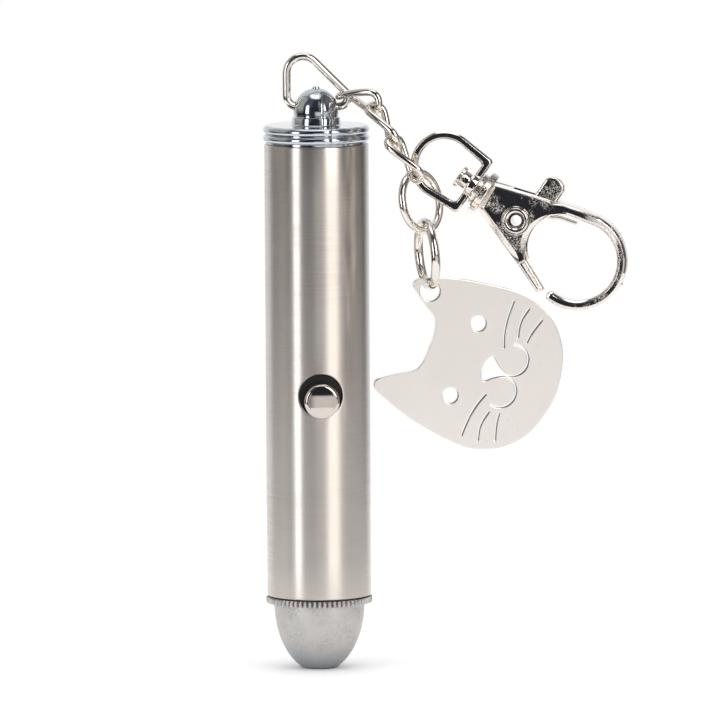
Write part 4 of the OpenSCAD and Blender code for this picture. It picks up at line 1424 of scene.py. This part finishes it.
@dataclass
class Clasp:
    """Swivel eye, and claw with its stud, hook, hollow rivet, gate lever and spring."""

    place: Place = Place((19.3, -6.35, 66.5), -11, 35.4)
    sides: int = 64
    eye_mid: float = -3.0
    eye_bow: float = 4.64
    eye_bar: float = 1.06
    eye_straight: float = 1.02
    eye_face: float = 2.02
    eye_half: float = 0.45
    eye_bevel: float = 0.24
    claw_half: float = 2.0
    slot_half: float = 0.9
    rivet_hole: float = 0.95
    hook_steps: int = 96
    hook_half: float = 1.15
    hook_bevel: float = 0.34
    hook_tip: float = 0.62
    hook_mid: Pair = (18.84, 0.07)
    hook_in: float = 5.38
    hook_out: float = 6.66
    throat: Pair = (16.33, 0.0)
    throat_r: float = 4.82
    pivot: Pair = (9.09, -0.2)
    lever_half: float = 0.75
    spring_depth: float = -0.5
    spring_r: float = 0.27

    def lathe(self, skin: Skin, profile: Array | list[Pair], swell: Array | float = 0.0) -> None:
        """Adds a turned part on the swivel axis from (radius, distance) points."""
        q = spun(profile, turns(self.sides), swell)
        skin.grid(self.place.put(np.stack([q[..., 2], q[..., 0], q[..., 1]], -1)), True, True)

    def pin(self, skin: Skin, profile: Array) -> None:
        """Adds a closed ring turned about the pivot from (radius, depth) points."""
        q = spun(profile, turns(self.sides))
        skin.grid(self.place.upright(q[..., :2] + self.pivot, q[..., 2]), True, True)

    def eye_loop(self, r: float, face: float, shrink: float) -> Array:
        """Edge of the swivel eye: a half circle, two sides, and a straight bar with cut corners.

        Args:
            r: radius of the half circle.
            face: distance of the straight bar.
            shrink: what the cut corners come in.

        Returns:
            Closed loop of points.
        """
        low = [(self.eye_mid, -r), (face - 0.35, -r + 0.28 + shrink), (face, -r + 0.6 + shrink)]
        corners = np.vstack([low, (np.array(low) * [1, -1])[::-1]])
        bow = arc((self.eye_mid, 0), r, 90, 270, 41)[:-1]
        return np.vstack([stepped(corners, (12, 4, 18, 4, 12)), bow])

    def eye(self) -> None:
        """Makes the swivel eye: a bevelled bar carried between its outer and inner edges."""
        outer = self.eye_loop(self.eye_bow, self.eye_face, 0)
        inner = self.eye_loop(self.eye_bow - self.eye_bar, self.eye_face - self.eye_straight, 0.1)
        section = bar_section(self.eye_bar, self.eye_half, self.eye_bevel, 0.1)
        skin = Skin()
        skin.grid(self.place.upright(between(outer, inner, section[:, 0]), section[:, 1]), True, True)
        hub = [(0.8, 0.98), (1.6, 0.98), (1.6, 2.02), (0.8, 2.02)]
        self.lathe(skin, rounded(hub, [0.03, 0.2, 0.12, 0.03], 4))
        fit(skin.make("swivel_bow", Crease.CAST), NICKEL_CAST, "eye", "nickel_cast", "swivel_eye")

    def cheek(self) -> Array:
        """Outline of a cheek, with the throat's circle on its hook side.

        Returns:
            Closed loop of points.
        """
        edge = arc(self.throat, self.throat_r, 231.5, 116.3, 30)
        corners = [(14.2, 5.58), (12.38, 5.11), (3.8, 2.15), (3.8, -1.9), (12.79, -4.91), (13.33, -3.77)]
        return without_repeats(np.vstack([edge, stepped(np.array(corners), (3, 10, 5, 12, 3))]))

    def hook(self, skin: Skin) -> None:
        """Adds the hook: a bevelled bar between outer and inner edge, thicker at the cheeks.

        Args:
            skin: the claw's surface.
        """
        flank = np.array([(11.2, 4.7), (12.38, 5.11), (14.0, 5.62), (15.7, 6.1), (17.2, 6.46)])
        outer = np.vstack([through(flank, (10, 4.25), (18.84, 6.73), 5),
                           arc(self.hook_mid, self.hook_out, 100, -92, 70)])
        inner = np.vstack([arc(self.throat, self.throat_r, 138, 104, 17),
                           arc(self.hook_mid, self.hook_in, 96, -92, 74)])
        s = np.linspace(0, 1, self.hook_steps)
        fade = np.clip((0.46 - s) / 0.3, 0, 1)
        half = self.hook_half + (self.claw_half + 0.004 - self.hook_half) * fade * fade * (3 - 2 * fade)
        half = half - 0.01 * np.clip((0.06 - s) / 0.02, 0, 1)
        section = bar_section(self.hook_out - self.hook_in, 1.0, self.hook_bevel, 0.16)
        flat = between(spread(outer, self.hook_steps), spread(inner, self.hook_steps), section[:, 0])
        face = np.sign(section[:, 1])
        rim = np.clip((np.abs(section[:, 1]) - 0.6) / 0.4, 0, 1) * face
        depth = half[:, None] * face - (face - rim) * self.hook_bevel
        turn = np.radians(np.array([25, 50, 70, 83, 90]))[:, None, None]
        heart, ahead = flat[-1:].mean(1, keepdims=True), unit(flat[-1:].mean(1) - flat[-2:-1].mean(1))
        tip = heart + (flat[-1:] - heart) * np.cos(turn) + self.hook_tip * np.sin(turn) * ahead
        depth = np.concatenate([depth, depth[-1:] * np.cos(turn[..., 0])])
        body = self.place.upright(np.concatenate([flat, tip]), depth)
        skin.grid(body, wrap_v=True)
        heart = np.broadcast_to(body[:1].mean(1, keepdims=True), body[:1].shape)
        skin.grid(np.concatenate([heart, body[:1]]), wrap_v=True)

    def stud(self, skin: Skin) -> None:
        """Adds the swivel stud with its notched head, and the collar under it.

        Args:
            skin: the claw's surface.
        """
        head = np.array([
            (POLE, -0.62), (0.55, -0.6), (0.7, -0.74), (1.42, -0.72), (1.58, -0.6), (1.58, -0.26),
            (1.5, -0.16), (1.22, -0.1), (1.22, 0.8), (0.75, 0.82), (0.75, 2.0), (POLE, 2.0)])
        notches = -0.16 * np.clip(np.cos(5 * turns(self.sides) + 0.4), 0, 1) ** 3 * (head[:, :1] > 1.4)
        self.lathe(skin, head, notches)
        collar = [(POLE, 2.12), (2.2, 2.12), (2.35, 2.24), (2.35, 2.7), (2.25, 2.82), (2.3, 2.86),
                  (2.95, 2.86), (3.1, 3.0), (3.1, 3.68), (2.95, 3.85), (1.6, 3.86), (POLE, 3.86)]
        self.lathe(skin, collar)

    def claw(self) -> None:
        """Makes stud, collar, both cheeks with their bosses, the web between them, and the hook."""
        skin = Skin()
        self.stud(skin)
        outline, hole = wound(self.cheek(), True), wound(circle(self.pivot, self.rivet_hole, 40), False)
        lean = np.interp(outline[:, 1:], (-1.5, 1.5), (1.3, 0.85))
        share = [np.clip((13.7 - outline[:, :1]) / 2.2, 0.35, 1) * lean, np.full((len(hole), 1), 0.02)]
        boss = np.array([(1.6, 1.9), (1.6, 2.08), (1.7, 2.12), (1.88, 2.12), (1.97, 2.05), (1.98, 1.9)])
        rows = edge_rows(self.slot_half, self.claw_half, 0.62, 0.42, 1.8)[5:]
        rows[0] = (0.02, self.slot_half)
        for s in (-1, 1):
            skin.plate([outline, hole], rows * [1, s], self.place, share)
            self.pin(skin, boss * [1, s])
        web = rounded([(3.7, -1.8), (6.3, -2.7), (6.3, 3.0), (3.7, 2.05)], 0.05, 2)
        skin.plate([wound(web, True)], edge_rows(-1.0, 1.0, 0.02, 0.02, 1, 3), self.place)
        self.hook(skin)
        nub = spun([(0.3, -0.1), (0.2, 0.14), (0.08, 0.2), (POLE, 0.2)], turns(16))
        spot = [self.hook_mid[0] + self.hook_out - 0.04, 0, 0.8]
        skin.grid(self.place.put(nub[..., [2, 0, 1]] + spot), wrap_v=True)
        fit(skin.make("claw_casting", Crease.CAST), WORN_CAST, "claw", "nickel_cast", "clasp_claw")

    def rivet(self) -> None:
        """Makes the hollow rivet with a rolled head at each end."""
        head = np.vstack([[(1.7, 1.98)], arc((1.48, 2.08), 0.26, 0, 90, 8), [(1.3, 2.34), (1.21, 2.3)]])
        inside, shank = [(0.74, 1.62), (0.74, -1.62)], [(0.92, -2.0), (0.92, 2.0)]
        skin = Skin()
        self.pin(skin, np.vstack([inside, (head * [1, -1])[::-1], shank, head]))
        fit(skin.make("hollow_rivet"), NICKEL_WIRE, "claw", "nickel_cast", "clasp_rivet")

    def lever(self) -> None:
        """Makes the gate lever with its thumb tab, and cuts the pocket for the spring."""
        edge = [(9.09, 3), (9.09, 6.6), (9.5, 7.2), (10.3, 7.54), (10.9, 7.54), (11.65, 7.2), (12.05, 6.6),
                (12.05, 4.6), (11.3, 2.6), (10.97, 0.2), (10.85, -1), (12.2, -3.1), (13.33, -3.95),
                (17.63, -5.79), (16.8, -6.66), (12.85, -5.16), (6.5, -3.03), (6.5, -2.5), (7.6, -1.4),
                (7.22, -0.6), (7.2, 0.1), (7.5, 0.9), (8.2, 1.6)]
        skin = Skin()
        rows = edge_rows(-self.lever_half, self.lever_half, 0.34, 0.3, 1.1, 7)
        skin.plate([wound(rounded(edge, 0.4, 4), True)], rows, self.place)
        lever = skin.make("gate_lever_casting", Crease.CAST)
        px, py = self.pivot
        upper = [(px, py), (px + 1.7, py), (13.2, 2.4), (12.6, 3.6), (px + 0.2, py + 1.7)]
        lower = [(px - 1.7, py - 0.3), (px + 0.4, py - 1.7), (12.4, -4.1), (12.6, -3.4),
                 (px + 1.6, py - 0.9)]
        tool = Skin()
        for loop in (circle(self.pivot, 1.75, 40), np.array(upper), np.array(lower)):
            tool.plate([wound(loop, True)], sharp_rows(-1.3, -0.2), self.place)
        bore = circle(self.pivot, self.rivet_hole + 0.02, 40)
        tool.plate([wound(bore, True)], sharp_rows(-1.5, 1.5), self.place)
        cut(lever, tool.make("lever_pocket_tool"), Crease.CAST)
        fit(lever, WORN_CAST, "gate", "nickel_cast", "gate_lever")
        self.facets()

    def facets(self) -> None:
        """Makes the ridge on the gate's end: a section carried along it, closed at both ends."""
        outer = np.repeat([(12.9, -5.14), (16.72, -6.6)], 2, 0)
        inner = np.repeat([(13.3, -4.0), (17.5, -5.8)], 2, 0)
        section = np.array([(-0.01, -0.1), (-0.01, -0.52), (0.62, -0.85), (1.0, -0.55), (1.0, -0.1)])
        full, heart = np.array([0.0, 1, 1, 0])[:, None], np.array([0.5, -0.3])
        share, depth = (heart[i] + (section[None, :, i] - heart[i]) * full for i in range(2))
        ridge = shell("gate_end_facets", self.place.upright(between(outer, inner, share), depth),
                      crease=Crease.FACET)
        fit(ridge, NICKEL_CAST, "gate", "nickel_cast", "gate_lever")

    def spring(self) -> None:
        """Makes the gate spring: a bend round the rivet and two legs."""
        rest = [(15.9, 4.1), (14.8, 3.78), (13.7, 3.45), (13.2, 3.18), (12.9, 2.95)]
        push = [(10.3, -2.15), (12.1, -3.55)]
        flat = np.vstack([rest, arc(self.pivot, 1.3, 75, 278, 30), push])
        path, radius = blunt(flat, self.spring_r, 0.08)
        path = self.place.upright(path, self.spring_depth)
        wire = shell("gate_spring_wire", tube(path, self.place.axes()[:, 1], radius, 12, False))
        dress(wire, SPRING_STEEL)
        ends = self.place.upright(np.array([(9.09, 0.9), (9.09, -1.6)]), self.spring_depth) * MM
        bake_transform(wire)
        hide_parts("gate_spring")
        LOG.info("%s: %d faces between claw and gate", wire.name, len(wire.data.polygons))

    def build(self) -> None:
        """Makes every piece of the clasp."""
        self.eye()
        self.claw()
        self.rivet()
        self.lever()
        self.spring()


@dataclass(frozen=True)
class Panel:
    """A soft-edged panel of the tent: its light, its limits in degrees and the width of its edges."""

    level: float
    tint: Triple
    az: Triple
    el: Triple

    def light(self, az: Array, el: Array) -> Array:
        """Its light by direction: level x band x band x tint."""
        return (self.level * band(az, *self.az) * band(el, *self.el))[..., None] * np.array(self.tint)


@dataclass(frozen=True)
class Lamp:
    """A soft round lamp: its place and size in metres, and its power."""

    name: str
    where: Triple
    size: float
    power: float


@dataclass
class Studio:
    """Camera, pale floor, soft lamps and a tent of light and dark panels that the metal reflects."""

    scale: float = 0.1346
    frame: int = 720
    sensor: float = 36.0
    distance: float = 1600.0
    azimuth: float = -3.5
    elevation: float = 6.2
    lean: float = 0.36
    target: Triple = (5.694, 0.0, 41.56)
    sheet: float = 180.0
    sheet_top: float = -0.02
    sheet_low: float = -1.0
    tent_r: float = 1100.0
    dark: float = 0.03
    sky: float = 0.1
    sky_dip: float = 0.08
    front: Triple = (-26, 14, 10)
    top: float = 1.9
    back: float = 0.88
    skyline: float = 0.15
    apron: tuple[tuple[float, Triple], ...] = ((0.86, (-8, 15, 9)), (0.78, (15, 60, 9)))
    panels: tuple[Panel, ...] = (
        Panel(4.4, WHITE, (-57, -43, 3), (-8, 28, 8)), Panel(4.6, WARM, (17, 46, 5), (5, 48, 5)),
        Panel(0.2, WARM, (62, 118, 12), (-60, 60, 20)), Panel(0.55, WARM, (-122, -74, 12), (0, 60, 20)))
    lights: tuple[Lamp, ...] = (
        Lamp("top_lamp", (0.05, -0.1, 0.9), 0.8, 1.6), Lamp("left_lamp", (-0.7, -0.5, 0.5), 0.5, 0.7),
        Lamp("right_lamp", (0.7, -0.55, 0.5), 0.5, 0.7))

    def camera(self) -> None:
        """Makes the camera at the photograph's angle, with a long lens."""
        data = bpy.data.cameras.new("camera")
        data.sensor_width = self.sensor
        data.lens = self.sensor * self.distance / (self.scale * self.frame)
        data.clip_start, data.clip_end = 0.05, 20.0
        cam = placed("camera", data)
        a, e = math.radians(self.azimuth), math.radians(self.elevation)
        back = Vector((math.sin(a) * math.cos(e), -math.cos(a) * math.cos(e), math.sin(e)))
        cam.location = (Vector(self.target) + back * self.distance) * MM
        look = (-back).to_track_quat("-Z", "Y").to_matrix().to_4x4()
        roll = Matrix.Rotation(math.radians(-self.lean), 4, "Z")
        cam.matrix_world = Matrix.Translation(cam.location) @ look @ roll
        bpy.context.scene.camera = cam

    def world(self) -> None:
        """White for camera, glossy and transmission rays, and a plain soft light for the rest."""
        world = bpy.data.worlds.new("studio_world")
        world.use_nodes = True
        tree = world.node_tree
        path = add_node(tree, "LightPath", {}).outputs
        seen = calc(tree, "MAXIMUM", path["Is Camera Ray"], path["Is Glossy Ray"])
        seen = calc(tree, "MAXIMUM", seen, path["Is Transmission Ray"])
        strength = ramp(tree, seen, (0.0, 1.0), (1.05, 1.0))
        feed(tree, tree.nodes["Background"], {"Color": (*WHITE, 1), "Strength": strength})
        bpy.context.scene.world = world

    def floor(self) -> None:
        """Makes the white sheet that the nose stands on."""
        top, low = self.sheet_top, self.sheet_low
        upper = [(r, top) for r in (0.01, self.sheet / 3, self.sheet * 2 / 3, self.sheet)]
        floor = shell("floor_sheet", spun(upper + [(self.sheet, low), (0.01, low)], turns(96)))
        dress(floor, WHITE_PAPER)

    def glow(self, az: Array, el: Array) -> Array:
        """Light of the tent: a dark horizon, a pale top, a white back, a low apron and panels.

        Args:
            az: azimuths in degrees, from the front to the right.
            el: elevations in degrees.

        Returns:
            Colour of each direction: the brightest of what lies there.
        """
        sky = (self.sky - self.sky_dip * band(az, *self.front)) * np.clip((el - 8) / 30, 0, 1)
        light = (self.dark + sky)[..., None] * np.array(COOL)
        light = np.maximum(light, self.top * np.clip((el - 64) / 8, 0, 1)[..., None])
        back = np.clip(np.where(az > 0, az - 123, -112 - az) / 26, 0, 1)[..., None]
        light = light * (1 - back) + (self.back + self.skyline * band(el, 1, 14, 4))[..., None] * back
        apron = sum(level * band(az, *limits) for level, limits in self.apron)
        light = np.maximum(light, (apron * np.clip((0.5 - el) / 1.5, 0, 1))[..., None])
        return np.maximum.reduce([light, *(panel.light(az, el) for panel in self.panels)])

    def tent(self) -> None:
        """Makes the tent: a ball of 1.1 m round the object that only reflections see."""
        az, el = np.meshgrid(np.linspace(-180, 180, 361), np.linspace(-89.5, 89.5, 180), indexing="ij")
        a, e = np.radians(az), np.radians(el)
        ball = np.stack([np.sin(a) * np.cos(e), -np.cos(a) * np.cos(e), np.sin(e)], -1)
        ball = ball * self.tent_r + np.array(self.target)
        mesh = bpy.data.meshes.new("light_tent")
        mesh.from_pydata(ball.reshape(-1, 3) * MM, [], quads(*az.shape, False, False).tolist())
        colour = mesh.attributes.new("glow", "FLOAT_COLOR", "POINT")
        light = np.concatenate([self.glow(az, el), np.ones((*az.shape, 1))], -1)
        colour.data.foreach_set("color", light.astype(np.float32).ravel())
        made = bpy.data.materials.new("tent_panels")
        made.use_nodes = True
        tree = made.node_tree
        tree.nodes.remove(tree.nodes["Principled BSDF"])
        read = add_node(tree, "Attribute", {}, attribute_name="glow")
        shine = add_node(tree, "Emission", {"Color": read.outputs["Color"]})
        feed(tree, tree.nodes["Material Output"], {"Surface": shine.outputs["Emission"]})
        mesh.materials.append(made)
        tent = placed("light_tent", mesh)
        tent.visible_camera = tent.visible_diffuse = tent.visible_shadow = False
        tent.visible_transmission = tent.visible_volume_scatter = False

    def lamps(self) -> None:
        """Makes the soft lamps: above, left and right."""
        for lamp in self.lights:
            data = bpy.data.lights.new(lamp.name, "AREA")
            data.shape, data.size, data.energy = "DISK", lamp.size, lamp.power
            obj = placed(lamp.name, data)
            obj.location = lamp.where
            way = Vector(self.target) * MM - Vector(lamp.where)
            obj.rotation_euler = way.to_track_quat("-Z", "Y").to_euler()
            obj.visible_camera = obj.visible_glossy = False

    def build(self) -> None:
        """Makes the whole studio."""
        bpy.context.scene.view_settings.view_transform = "Standard"
        self.camera()
        self.world()
        self.floor()
        self.tent()
        self.lamps()


def main() -> None:
    """Loads the frame, builds the studio and every sub-assembly, and dresses the solids inside."""
    logging.basicConfig(level=logging.INFO, format="%(message)s")
    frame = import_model()
    Studio().build()
    Barrel().build()
    Nose().build()
    RearCap().build()
    Button().build()
    ring_low = Chain().build()
    Charm().build(ring_low)
    Clasp().build()
    for node, finish in INSIDE.items():
        dress(frame["nodes"][node], finish)
        LOG.info("%s: %s", node, finish.name)


if __name__ == "__main__":
    main()
